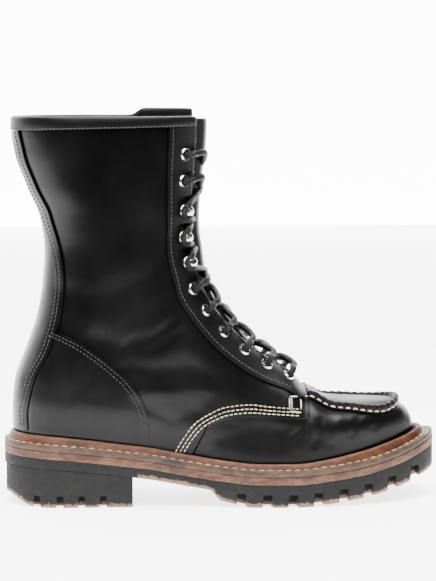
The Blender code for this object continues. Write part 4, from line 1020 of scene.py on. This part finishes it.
def makeBand():
    low = bandSection()
    halves = []
    for side in sides:
        grid, normals = [], []
        for share, out, rise in band["profile"]:
            s = low + share * (lastRow - low)
            size = lengthOf(s, side) - cover["edgeTrim"] + 1.4
            runs = size * np.sin(np.linspace(0, math.pi / 2, 60))
            end = rounded((size - runs) / 4.0)
            middle = -1.0
            offset = middle + (out - middle) * end
            line = onForm(s, side, runs, offset)
            line[:, 2] += rise * end
            line[0, 1] = centreY(line[0, 0])
            grid.append(line)
            normals.append(rowNormals(s, side, runs) * np.sign(out - middle))
        halves.append(facing(gridPiece("collar_binding", grid), normals))
    made = joined("collar_binding", halves, 2e-4)
    closedUp(made)
    smoothed(made, 60)
    return placed(made, facingLeather, ["collar_band"])

makeBand()

# The tongue
def makeTongue():
    depth = -(boot["lapStep"] + boot["wall"] + tongueSize["tongueGap"])
    sections = [*np.linspace(throatRow - 0.7, heelRow, 50),
                *np.linspace(heelRow + 0.2, lastRow - 0.12, 60)]
    halves = []
    for side in sides:
        grid, normals = [], []
        for s in sections:
            s = float(s)
            size = lengthOf(s, side, False)
            edge = form("gap", s) * boot["throatGap"] / 2
            marks = [tongueSize["tongueHalf"], edge + 3.5, 0.85 * edge, 0.45 * edge, 0]
            share = np.linspace(0, 4, 25)
            back = np.interp(share, range(5), marks)
            crown = np.interp(share, range(5), (0, 0, 0.08, 0.8, 1))
            risen = blend((s - throatRow - 0.6) / 3)
            out = depth + tongueSize["tongueCrown"] * risen * crown
            line = onForm(s, side, size - back, out, False)
            line[-1, 1] = centreY(line[-1, 0])
            grid.append(line)
            normals.append(rowNormals(s, side, size - back, False))
        halves.append(facing(gridPiece("tongue_leather", grid), normals))
    made = joined("tongue_leather", halves, 2e-4)
    walled(made, tongueSize["tongue"], 1.2, 3)
    return placed(made, tongueLeather, ["tongue"])

makeTongue()
print("tongue made")

# The plug of the moccasin toe and its raised seam
def topPoint(x, y, out):
    s = float(np.interp(x, *topLine()))
    side = outerSide if y < centreY(x) else innerSide
    points, run = halfSection(s, side)
    reach = np.abs(points[:, 1] - centreY(points[:, 0]))
    top = np.argmax(reach)
    a = np.interp(-abs(y - centreY(x)), -reach[top:], run[top:])
    return onForm(s, side, a, out)[0]

def makePlug():
    inside = plug["mocRidgeWidth"] / 2 + 0.2
    grid = []
    for x in plugStations(60, inside)[:-1]:
        half = plugHalf(x, inside)
        row = []
        for v in np.linspace(-1, 1, 41):
            rise = plug["apronGap"] + plug["apronThickness"] - 0.9 * abs(v) ** 6
            row.append(topPoint(x, centreY(x) + v * half, rise - boot["lapStep"]))
        grid.append(row)
    grid = np.array(grid)
    made = facing(gridPiece("toe_plug", grid), np.tile((0, 0, 1.0), (grid[..., 0].size, 1)))
    walled(made, plug["apronThickness"], 0.3)
    return placed(made, plugLeather, ["apron"])

def plugLine(count=150):
    places = plugStations(count)
    line = [(x, centreY(x) - plugHalf(x)) for x in places]
    line += [(x, centreY(x) + plugHalf(x)) for x in places[::-1]]
    line = np.array(line)
    run = runAlong(line)
    at = np.linspace(0, run[-1], 2 * count)
    line = np.c_[np.interp(at, run, line[:, 0]), np.interp(at, run, line[:, 1])]
    along = np.gradient(line, axis=0)
    out = np.c_[along[:, 1], -along[:, 0]]
    return line, out / np.linalg.norm(out, axis=1)[:, None], at

ridge = {"pitch": 5.5, "pucker": 0.35}

def makeRidge():
    line, out, at = plugLine()
    half, height = plug["mocRidgeWidth"] / 2, plug["mocRidgeHeight"]
    profile = [(1.35 * half, 0.0), (1.05 * half, 0.35 * height), (0.95 * half, 0.75 * height),
               (0.5 * half, height), (-0.1 * half, 1.02 * height), (-0.6 * half, 0.92 * height),
               (-1.0 * half, 0.6 * height), (-1.15 * half, 0.0)]
    grid = []
    for (x, y), (nx, ny), a in zip(line, out, at):
        pinch = ridge["pucker"] * math.cos(2 * math.pi * a / ridge["pitch"])
        row = []
        for d, h in profile:
            d = d * (1 + 0.16 * pinch)
            h = h * (1 + 0.14 * pinch)
            row.append(topPoint(x + nx * d, y + ny * d, plug["apronGap"] + h - boot["lapStep"]))
        grid.append(row)
    made = gridPiece("toe_ridge", grid)
    normals = np.tile((0, 0, 1.0), (len(made.data.vertices), 1))
    facing(made, normals)
    smoothed(made, 70)
    return placed(made, plugLeather, ["moc_seam"])

makePlug()
makeRidge()
print("plug made")

# Welt with its rib, midsole, outsole and heel
def sweptRing(name, outline, profile):
    grid = []
    closed = np.r_[outline, outline[:1]]
    normals = edgeNormals(outline)
    normals = np.r_[normals, normals[:1]]
    for (x, y), (nx, ny) in zip(closed, normals):
        row = []
        for outwards, height in [*profile, profile[0]]:
            d = float(outwards(x))
            row.append((x + nx * d, y + ny * d, float(height(x + nx * d))))
        grid.append(row)
    return closedUp(gridPiece(name, grid))

def makeWelt():
    flange = lambda t: (lambda x: t * under["weltOut"] * float(sole("out", x)))
    low = lambda lift: (lambda x: midsoleTop(x) + boot["gap"] + lift)
    top = lambda lift: (lambda x: weltTop(x) + lift)
    rib = lambda share: (lambda x: weltTop(x) + share * ribHeight(x))
    at = lambda d: (lambda x: d)
    inner, wide = under["ribGap"], under["ribGap"] + under["ribWidth"]
    profile = [
        (at(-under["weltIn"]), low(0)), (flange(0.97), low(0)), (flange(1.0), low(0.4)),
        (flange(1.0), top(-0.9)), (flange(0.97), top(-0.25)), (flange(0.9), top(0)),
        (at(wide + 2.9), top(0.05)), (at(wide + 2.4), top(-0.75)), (at(wide + 1.5), top(-0.8)),
        (at(wide + 0.9), rib(0.1)), (at(wide + 0.3), rib(0.5)), (at(wide - 0.15), rib(0.8)),
        (at(wide - 0.9), rib(0.97)), (at(inner + 1.1), rib(1.02)), (at(inner + 0.3), rib(0.93)),
        (at(inner), rib(0.7)), (at(inner), top(0)), (at(-under["weltIn"]), top(0)),
    ]
    made = sweptRing("storm_welt", resampled(featherOutline(), 360), profile)
    made.data.materials.append(ribLeather)
    made.data.materials.append(edgeLeather)
    centres = np.array([p.center[:] for p in made.data.polygons])
    outline = featherOutline()
    places = centres / mm + np.r_[soleMiddle(), 0]
    far = np.min(np.linalg.norm(places[:, None, :2] - outline[None, ::2], axis=2), axis=1)
    kinds = (far > wide + 2.4).astype(int)
    made.data.polygons.foreach_set("material_index", kinds)
    smoothed(made, 50)
    return placed(made, None, ["welt"])

def slab(name, low, high, half, places):
    grid = []
    for x in places:
        middle = float(centreY(x))
        o, i = middle - float(half(x, outerSide)), middle + float(half(x, innerSide))
        a, b = float(low(x)), float(high(x))
        ring = [(o, a), (i, a), (i, b), (o, b), (o, a)]
        grid.append([(x, y, z) for y, z in ring])
    made = gridPiece(name, grid)
    edited(
        made,
        lambda: bpy.ops.mesh.remove_doubles(threshold=1e-6),
        lambda: bpy.ops.mesh.select_all(action="DESELECT"),
        lambda: bpy.ops.mesh.select_non_manifold(),
        lambda: bpy.ops.mesh.fill_holes(sides=6),
        lambda: bpy.ops.mesh.select_all(action="SELECT"),
        lambda: bpy.ops.mesh.normals_make_consistent(inside=False),
    )
    return made

def cutBy(piece, boxes):
    points, faces = [], []
    for corners in boxes:
        n = len(points)
        points += corners
        for face in ((0, 1, 3, 2), (4, 6, 7, 5), (0, 4, 5, 1), (2, 3, 7, 6), (0, 2, 6, 4),
                     (1, 5, 7, 3)):
            faces.append(tuple(n + k for k in face))
    mesh = bpy.data.meshes.new("cutter")
    mesh.from_pydata([tuple(p) for p in toRow(points)], [], faces)
    tool = bpy.data.objects.new("cutter", mesh)
    bpy.context.collection.objects.link(tool)
    edited(tool, lambda: bpy.ops.mesh.normals_make_consistent(inside=False))
    changed(piece, "BOOLEAN", operation="DIFFERENCE", solver="EXACT", object=tool)
    bpy.data.objects.remove(tool, do_unlink=True)
    return piece

def treadBoxes():
    cutters = []
    first = 0.535 * boot["length"]
    pitch = under["lugPitch"]
    count = int((0.955 * boot["length"] - first) // pitch)
    for side in sides:
        for n in range(count + 1):
            x = first + n * pitch + (0 if side == outerSide else 0.35 * pitch)
            edge = float(centreY(x) + side * soleHalf(x, side))
            cutters.append(notch(x, edge, side, under["lugNotch"], under["notchReach"],
                                 treadLugs(x)))
    for n in range(count):
        x = first + (n + 0.6) * pitch
        half = 0.42 * float(soleHalf(x, innerSide))
        cutters.append(groove(x, float(centreY(x)), half, treadLugs(x)))
    return cutters

# The height of the lowest edge under each place, for the pale wear along it
def wornBelow(piece, bottom):
    low = piece.data.attributes.new("base", "FLOAT", "POINT")
    places = [fromRow(v.co)[0] for v in piece.data.vertices]
    low.data.foreach_set("value", bottom(np.array(places)) * mm)

def makeSole():
    length, rubberRim = boot["length"], 0.9
    low = lambda x: rubberTop(x) + boot["gap"]
    mid = slab("brown_midsole", low, midsoleTop, soleHalf, stations(0.15, length - 0.15, 150))
    placed(smoothed(bevelled(mid, 0.7, 50)), soleLeather, ["midsole"])
    places = np.r_[stations(0.15, 0.455 * length, 60, 0.5), np.linspace(0.464, 0.50, 12) * length,
                   stations(0.515 * length, length - 0.15, 90, 0.5)]
    tread = slab("lug_outsole", treadBottom, rubberTop, soleHalf, places)
    cutBy(tread, treadBoxes())
    bevelled(tread, rubberRim, 35)
    wornBelow(tread, lambda x: np.where(x < under["heelBreast"] + 1, -50.0, treadBottom(x)))
    placed(smoothed(tread), rubber, ["outsole"])
    high = lambda x: rubberTop(x) - under["rubberFloor"] - boot["gap"]
    places = stations(1.2, under["heelBreast"], 60, 0.7)
    block = slab("heel_block", heelBottom, high, soleHalf, places)
    boxes = []
    for side in sides:
        for share in heelNotches:
            x = share * under["heelBreast"]
            edge = side * float(soleHalf(x, side))
            boxes.append(notch(x, edge, side, under["heelNotch"], cutter["heelReach"],
                               cutter["heelTop"]))
    cutBy(block, boxes)
    bevelled(block, rubberRim, 35)
    wornBelow(block, heelBottom)
    placed(smoothed(block), rubber, ["heel"])

makeWelt()
makeSole()
nodes["insole"].data.materials.clear()
nodes["insole"].data.materials.append(tan)
print("sole made")

# Stitches: short lengths of thread that dip into the leather at both ends
def stitches(name, lines, settings, finish):
    pitch, long, thick = settings
    points, faces = [], []
    shape = ((-0.5, 0.45, -0.8), (-0.38, 0.9, 0.1), (0.0, 1.0, 0.5), (0.38, 0.9, 0.1),
             (0.5, 0.45, -0.8))
    for line, normals in lines:
        if len(line) < 2:
            continue
        run = runAlong(line)
        count = max(1, int(round(run[-1] / pitch)))
        for n in range(count):
            middle = (n + 0.5) * run[-1] / count
            start = len(points)
            at = [middle + u * long for u, _, _ in shape]
            spots = np.array([[np.interp(a, run, line[:, k]) for k in range(3)] for a in at])
            up = np.array([np.interp(middle, run, normals[:, k]) for k in range(3)])
            way = spots[-1] - spots[0]
            way /= max(np.linalg.norm(way), 1e-9)
            across = np.cross(way, up)
            across /= max(np.linalg.norm(across), 1e-9)
            up = np.cross(across, way)
            for spot, (_, size, rise) in zip(spots, shape):
                for k in range(6):
                    angle = math.pi * k / 3
                    ring = across * math.cos(angle) + up * math.sin(angle)
                    points.append(spot + up * rise * thick / 2 + ring * size * thick / 2)
            for i in range(4):
                for k in range(6):
                    m = (k + 1) % 6
                    a, b = start + 6 * i, start + 6 * i + 6
                    faces.append((a + k, a + m, b + m, b + k))
            faces.append(tuple(start + k for k in range(6)))
            faces.append(tuple(start + 24 + k for k in range(6)))
    mesh = bpy.data.meshes.new(name)
    mesh.from_pydata([tuple(p) for p in toRow(points)], [], faces)
    made = bpy.data.objects.new(name, mesh)
    bpy.context.collection.objects.link(made)
    edited(made, lambda: bpy.ops.mesh.normals_make_consistent(inside=False))
    smoothed(made, 60)
    return placed(made, finish)

def formLine(side, sections, runOf, out):
    line = [onForm(float(s), side, runOf(float(s)), out)[0] for s in sections]
    normals = [rowNormals(float(s), side, np.array([runOf(float(s))]))[0] for s in sections]
    line = np.array(line)
    line += np.array(normals) * creased(line, side)[:, None]
    return line, np.array(normals)

# Each row's pitch, the length of its stitches and their thickness
fineThread, thinThread = (2.9, 2.1, 0.65), (2.9, 2.1, 0.6)
panelEdge = ((127.7, 36.7), (134, 46.7), (140.2, 53.5), (147.6, 58), (158.9, 61.6),
             (171.4, 62.7), (183.9, 62.2), (196.6, 61.6), (206, 60.9))
upperRow = ((119.1, 36.8), (126.0, 48.5), (133.4, 58.1), (143.2, 64.3), (153.7, 68.8),
            (171.3, 70.7), (185.3, 69.1), (199.4, 67.9), (206.5, 67.1))

def evenly(points, count=60):
    points = np.array(points, float)
    run = runAlong(points)
    at = np.linspace(0, run[-1], count)
    return np.c_[smooth(run, points[:, 0], at), smooth(run, points[:, 1], at)]

def panelRow(side, share):
    line = evenly(panelEdge) * (1 - share) + evenly(upperRow) * share
    return sideLine(line, side, 0.15, 0.8)

quarterRows = [panelRow(side, share) for side in sides for share in (0.3, 0.63, 1.0)]
stitches("quarter_stitches", quarterRows, (3.3, 2.5, 0.75), creamThread)
first, final = throatRow + 0.9, bandSection() + 0.2
facingSections = np.linspace(first, final, 220)
top = coverTop + 0.1
facingRear = lambda side: (lambda s: skinRuns(s, side)[-1 - skin["facing"]] + 2.2)
facingFront = lambda side: (lambda s: lengthOf(s, side) - cover["edgeTrim"] - 2.6)
facingRows = [formLine(side, facingSections, facingRear(side), top)
              for side in sides]
stitches("facing_stitches", facingRows, fineThread, greyThread)
frontRows = [formLine(side, facingSections, facingFront(side), top)
             for side in sides]
stitches("facing_front_stitches", frontRows, thinThread, blackThread)

def heelLine(side, points, out):
    points = np.array(points, float)
    run = runAlong(points)
    at = np.linspace(0, run[-1], max(2, int(run[-1] / 1.5)))
    found = [heelPoint(np.interp(a, run, points[:, 0]), np.interp(a, run, points[:, 1]), side, out)
             for a in at]
    found = [f for f in found if f]
    return np.array([f[0] for f in found]), np.array([f[1] for f in found])

heights = np.linspace(ribLow(10) + 3, boot["shaftTop"] - 9, 60)
stayRows = [heelLine(side, [(stayX(z) - d, z) for z in heights], top)
            for side in sides for d in (2.6, 4.8)]
stitches("backstay_stitches", stayRows, fineThread, greyThread)
seamRows = [heelLine(side, [(seamX(z) - d, z - 0.6 * d) for z in np.linspace(56, 122, 40)], top)
            for side in sides for d in (2.2, 4.6)]
stitches("counter_stitches", seamRows, fineThread, blackThread)
bandLow = bandSection()
bandLine = []
for side in sides:
    s = bandLow + 0.09
    runs = np.linspace(0.5, lengthOf(s, side) - 6, 90)
    bandLine.append((onForm(s, side, runs, boot["gap"] + 1.95), rowNormals(s, side, runs)))
stitches("collar_stitches", bandLine, thinThread, greyThread)

# Thick loops at the base of the throat
boxLines = []
for side in sides:
    for path in (((199.4, 66.4), (199.4, 75.4)), ((200.9, 66.6), (200.9, 75.4)),
                 ((207.6, 65.6), (207.6, 74.8)), ((199.2, 75.8), (207.4, 75.2)),
                 ((199.4, 66.0), (207.6, 64.9)), ((208.2, 75.0), (214.0, 74.0))):
        boxLines.append(sideLine(path, side, 0.35, 0.6))
stitches("throat_loops", boxLines, (9.0, 8.6, 1.1), creamThread)

# Hand stitches along the toe's ridge, and the welt's own
def ridgeStitches():
    line, out, _ = plugLine()
    spots, normals = [], []
    half = plug["mocRidgeWidth"] / 2
    for (x, y), (nx, ny) in zip(line, out):
        d = 1.12 * half
        spots.append(topPoint(x + nx * d, y + ny * d, plug["apronGap"] + 1.5 - boot["lapStep"]))
        normals.append((nx, ny, 0.45))
    return np.array(spots), np.array(normals)

stitches("ridge_stitches", [ridgeStitches()], (ridge["pitch"], 3.6, 1.15), creamThread)

def weltStitches():
    outline = resampled(featherOutline(), 420)
    d = under["ribGap"] + under["ribWidth"] + 1.95
    spots = outline + edgeNormals(outline) * d
    spots = np.c_[spots, weltTop(spots[:, 0]) - 0.35]
    spots = np.r_[spots, spots[:1]]
    return spots, np.tile((0, 0, 1.0), (len(spots), 1))

stitches("welt_stitches", [weltStitches()], (6.3, 4.9, 1.1), goldThread)
print("stitches made")

# Eyelets and hooks
stud = {"sides": 28}

def turnedMetal(name, foot, axis, profile):
    axis = unit(axis)
    one = unit(np.cross(axis, (0.0, 0.0, 1.0)))
    two = np.cross(axis, one)
    grid = []
    for n in range(stud["sides"] + 1):
        angle = 2 * math.pi * (n % stud["sides"]) / stud["sides"]
        spoke = one * math.cos(angle) + two * math.sin(angle)
        grid.append([foot + spoke * r + axis * h for r, h in profile])
    made = closedUp(gridPiece(name, grid), 2e-6)
    return smoothed(made, 60)

def studPlace(s, side, kind):
    a = lengthOf(s, side) - lacing[kind + "Inset"]
    base = onForm(s, side, a)[0]
    normal = rowNormals(s, side, np.array([float(a)]))[0]
    return base + normal * creased(base[None], side)[0], normal

def makeStuds():
    top = coverTop
    hole, outerR = lacing["eyeletHole"] / 2, lacing["eyeletOuter"] / 2
    for n, (s, kind) in enumerate(lacingSections()):
        for side in sides:
            foot, axis = studPlace(s, side, kind)
            name = f"{kind}_{sideName[side]}_{n + 1}"
            if kind == "eyelet":
                profile = [(hole, -2.2), (hole, top + 0.2), (hole + 0.25, top + 0.85),
                           (hole + 0.8, top + 1.15), (0.55 * (hole + outerR), top + 1.2),
                           (outerR - 0.5, top + 0.85), (outerR, top + 0.3), (outerR, top - 0.1),
                           (hole + 0.5, top - 0.15), (hole + 0.5, -2.2), (hole, -2.2)]
                made = turnedMetal("metal_" + name, foot, axis, profile)
            else:
                base, head = lacing["hookBase"] / 2, lacing["hookHead"] / 2
                high = lacing["hookHeight"]
                profile = [(0, top - 0.1), (base, top - 0.1), (base, top + 0.4),
                           (base - 0.6, top + 0.9), (0.55 * base, top + 1.0),
                           (1.3, top + 0.9), (1.1, top + 1.3),
                           (1.1, top + high + 0.2), (head - 0.3, top + high + 0.5),
                           (head, top + high + 0.9), (head - 0.4, top + high + 1.3),
                           (0.5 * head, top + high + 1.6), (0, top + high + 1.7)]
                made = turnedMetal("metal_" + name, foot, axis, profile)
            placed(made, nickel, [name])

makeStuds()
print("metal made")

# The lace
cordSize = {"radius": 2.35, "sides": 12, "step": 1.1, "under": 4.9, "through": -4.6, "mouth": 1.0}

def splined(points, step):
    points = np.array(points, float)
    p = np.r_[[2 * points[0] - points[1]], points, [2 * points[-1] - points[-2]]]
    made = []
    for a, b, c, d in zip(p, p[1:], p[2:], p[3:]):
        count = max(2, int(np.linalg.norm(c - b) / step))
        for t in np.linspace(0, 1, count, endpoint=False):
            made.append(0.5 * (2 * b + (c - a) * t + (2 * a - 5 * b + 4 * c - d) * t * t
                               + (3 * b - a - 3 * c + d) * t ** 3))
    made.append(points[-1])
    return np.array(made)

def cordPiece(name, path):
    path = splined(path, cordSize["step"])
    along = np.gradient(path, axis=0)
    along /= np.linalg.norm(along, axis=1)[:, None]
    one = unit(np.cross(along[0], (0.0, 0.3, 1.0)))
    grid = []
    for spot, way in zip(path, along):
        one = unit(one - way * (one @ way))
        two = np.cross(way, one)
        ring = []
        for k in range(cordSize["sides"] + 1):
            angle = 2 * math.pi * (k % cordSize["sides"]) / cordSize["sides"]
            spoke = one * math.cos(angle) + two * math.sin(angle)
            ring.append(spot + spoke * cordSize["radius"])
        grid.append(ring)
    ends = [[spot] * len(grid[0]) for spot in (path[0], path[-1])]
    made = gridPiece(name, [ends[0], *grid, ends[1]])
    run = runAlong(path)
    run = np.r_[run[0], run, run[-1]]
    layer = made.data.uv_layers[0]
    columns = cordSize["sides"] + 1
    for loop in made.data.loops:
        i, k = divmod(loop.vertex_index, columns)
        layer.data[loop.index].uv = (k / cordSize["sides"], run[i] / 10.0)
    closedUp(made, 2e-6)
    return smoothed(made, 80)

rows = lacingSections()
topPair = 9  # from this row up the lace enters the eyelets from outside

def spot(i, side, back, out):
    s = rows[i][0]
    a = lengthOf(s, side) - back
    return onForm(s, side, a, out)[0]

def acrossMid(start, end, rise):
    return (start + end) / 2 + forward(start, end) * rise

# Over the lacing edge, standing out from it
def overEdge(i, side, lift):
    top = coverTop + cordSize["radius"]
    edge = spot(i, side, 0.4, top + 0.6)
    ahead = spot(min(i + 1, len(rows) - 1), side, 0.4, top) if i < len(rows) - 1 else edge
    behind = spot(i - 1, side, 0.4, top) if i else edge
    return edge + forward(behind, ahead) * lift

def leaving(i, side):
    inset = lacing["eyeletInset"]
    top = coverTop + cordSize["radius"]
    return [spot(i, side, inset, cordSize["through"]), spot(i, side, inset, cordSize["mouth"]),
            spot(i, side, inset - 1.0, top + 2.4), spot(i, side, inset - 5.0, top + 2.4),
            overEdge(i, side, 2.6)]

def arriving(i, side):
    deep = -cordSize["under"]
    return [spot(i, side, 0.5, deep + 2.4), spot(i, side, 4.5, deep),
            spot(i, side, lacing["eyeletInset"], deep + 0.4)]

def entering(i, side):
    inset = lacing["eyeletInset"]
    top = coverTop + cordSize["radius"]
    return [overEdge(i, side, 3.4), spot(i, side, inset - 5.0, top + 2.2),
            spot(i, side, inset - 1.2, top + 2.0), spot(i, side, inset, cordSize["mouth"]),
            spot(i, side, inset, cordSize["through"])]

def aroundHook(i, side):
    inset = lacing["hookInset"]
    top = coverTop + 1.0 + cordSize["radius"]
    foot, axis = studPlace(rows[i][0], side, "hook")
    reach = cordSize["radius"] + 1.3
    behind = spot(i, side, inset + reach, top)
    frontal = spot(i, side, inset - reach, top)
    up = unit(np.array([0, 0, 1.0]) - axis * axis[2])
    centre = foot + axis * top
    near, far = centre * 0.5 + frontal * 0.5, behind * 0.6 + centre * 0.4
    rise, sweep = up * (reach + 1.4), up * reach * 0.8
    return [near - rise, far - sweep, behind, far + sweep, near + rise]

def makeLace():
    count, deep = len(rows), -cordSize["under"]
    for start in sides:
        path, side = [], start
        if side == outerSide:  # the bar under the lowest pair belongs to one of the cords
            path += [spot(0, -side, lacing["eyeletInset"], deep),
                     spot(0, -side, 2.0, deep + 1.2), spot(0, side, 2.0, deep + 1.2)]
        path += [spot(0, side, lacing["eyeletInset"], deep)]
        path += leaving(0, side)
        for i in range(1, count):
            side = -side
            previous = path[-1]
            kind = rows[i][1]
            if kind == "hook":
                nextPoints = aroundHook(i, side)
            elif i >= topPair:
                nextPoints = entering(i, side)
            else:
                nextPoints = arriving(i, side)
            path.append(acrossMid(previous, nextPoints[0], 4.2 if start == outerSide else 2.4))
            path += nextPoints
            if kind == "eyelet" and i < topPair:
                path += leaving(i, side)
            elif kind == "eyelet" and i < count - 1:
                path += [spot(i, side, 6.0, deep), spot(i, side, 0.5, -3.0)]
        name = "lace_cord_" + ("a" if start == outerSide else "b")
        made = cordPiece(name, path)
        placed(made, laceCord, ["lace"])

def cordMaterial():
    made = shader("waxed_cord", (0.0022, 0.0022, 0.0022), 0.45, shine=0.2)
    at = node(made, "ShaderNodeUVMap").outputs["UV"]
    split = node(made, "ShaderNodeSeparateXYZ", {"Vector": at})
    u, v = split.outputs["X"], split.outputs["Y"]
    around = sums(made, "MULTIPLY", u, 8 * math.pi)
    along = sums(made, "MULTIPLY", v, 16 * math.pi)
    first = sums(made, "SINE", sums(made, "ADD", around, along), 0)
    second = sums(made, "SINE", sums(made, "SUBTRACT", around, along), 0)
    weave = sums(made, "MAXIMUM", first, second)
    bumped(made, ((weave, 0.7, 0.35), (noise(made, 900, 2), 0.3, 0.15)))
    setTo(made, "Roughness", ranged(made, noise(made, 200, 4), 0.3, 0.7, 0.4, 0.6))
    return made

laceCord = cordMaterial()
makeLace()
print("lace made")

# Floor, light and camera
def stagePlane(name, place, size, turn, finish):
    bpy.ops.mesh.primitive_plane_add(size=1, location=place, rotation=turn)
    made = bpy.context.object
    made.name = name
    made.scale = (*size, 1)
    made.data.materials.append(finish)

def glowing(made, strength):
    base = made.node_tree.nodes["Principled BSDF"]
    base.inputs["Emission Color"].default_value = (1, 1, 1, 1)
    base.inputs["Emission Strength"].default_value = strength
    return made

ground = glowing(shader("floor", (0.93, 0.93, 0.93), 0.9, shine=0.0), 3.0)
stagePlane("floor", (0, 1.33, 0), (7, 3.34), (0, 0, 0), ground)
glow = glowing(shader("backdrop", (0.9, 0.9, 0.9), 1.0), 9)
stagePlane("backdrop", (0, 3.0, 1.6), (7, 3.3), (math.pi / 2, 0, 0), glow)
world = bpy.data.worlds.new("room")
world.use_nodes = True
world.node_tree.nodes["Background"].inputs["Color"].default_value = (1, 1, 1, 1)
world.node_tree.nodes["Background"].inputs["Strength"].default_value = 0.05
bpy.context.scene.world = world

def areaLight(name, place, target, size, power):
    bpy.ops.object.light_add(type="AREA", location=place)
    made = bpy.context.object
    made.name = name
    made.data.shape = "RECTANGLE"
    made.data.size, made.data.size_y = size
    made.data.energy = power
    made.rotation_euler = (Vector(place) - Vector(target)).to_track_quat("Z", "Y").to_euler()

areaLight("top", (0.0, -0.25, 1.5), (0.02, 0, 0.05), (1.5, 0.9), 95)
areaLight("front", (-0.35, -1.25, 1.35), (0, 0, 0.1), (0.9, 0.5), 40)
areaLight("back", (-1.3, 0.5, 0.7), (-0.1, 0, 0.15), (0.6, 1.0), 14)

camera = bpy.data.cameras.new("photo_camera")
viewer = bpy.data.objects.new("photo_camera", camera)
bpy.context.collection.objects.link(viewer)
view = {"azimuth": -5.0, "elevation": 5.2, "distance": 1.747,
        "target": (-0.0018, -0.0015, 0.148), "pixelsPerMm": 1.405, "pictureHeight": 581}
turn, tilt = math.radians(view["azimuth"]), math.radians(view["elevation"])
away = Vector((math.sin(turn) * math.cos(tilt), -math.cos(turn) * math.cos(tilt), math.sin(tilt)))
viewer.location = Vector(view["target"]) + away * view["distance"]
viewer.rotation_euler = away.to_track_quat("Z", "Y").to_euler()
camera.sensor_fit = "VERTICAL"
camera.sensor_height = 36
camera.lens = 36 * view["pixelsPerMm"] * view["distance"] / mm / view["pictureHeight"]
bpy.context.scene.camera = viewer
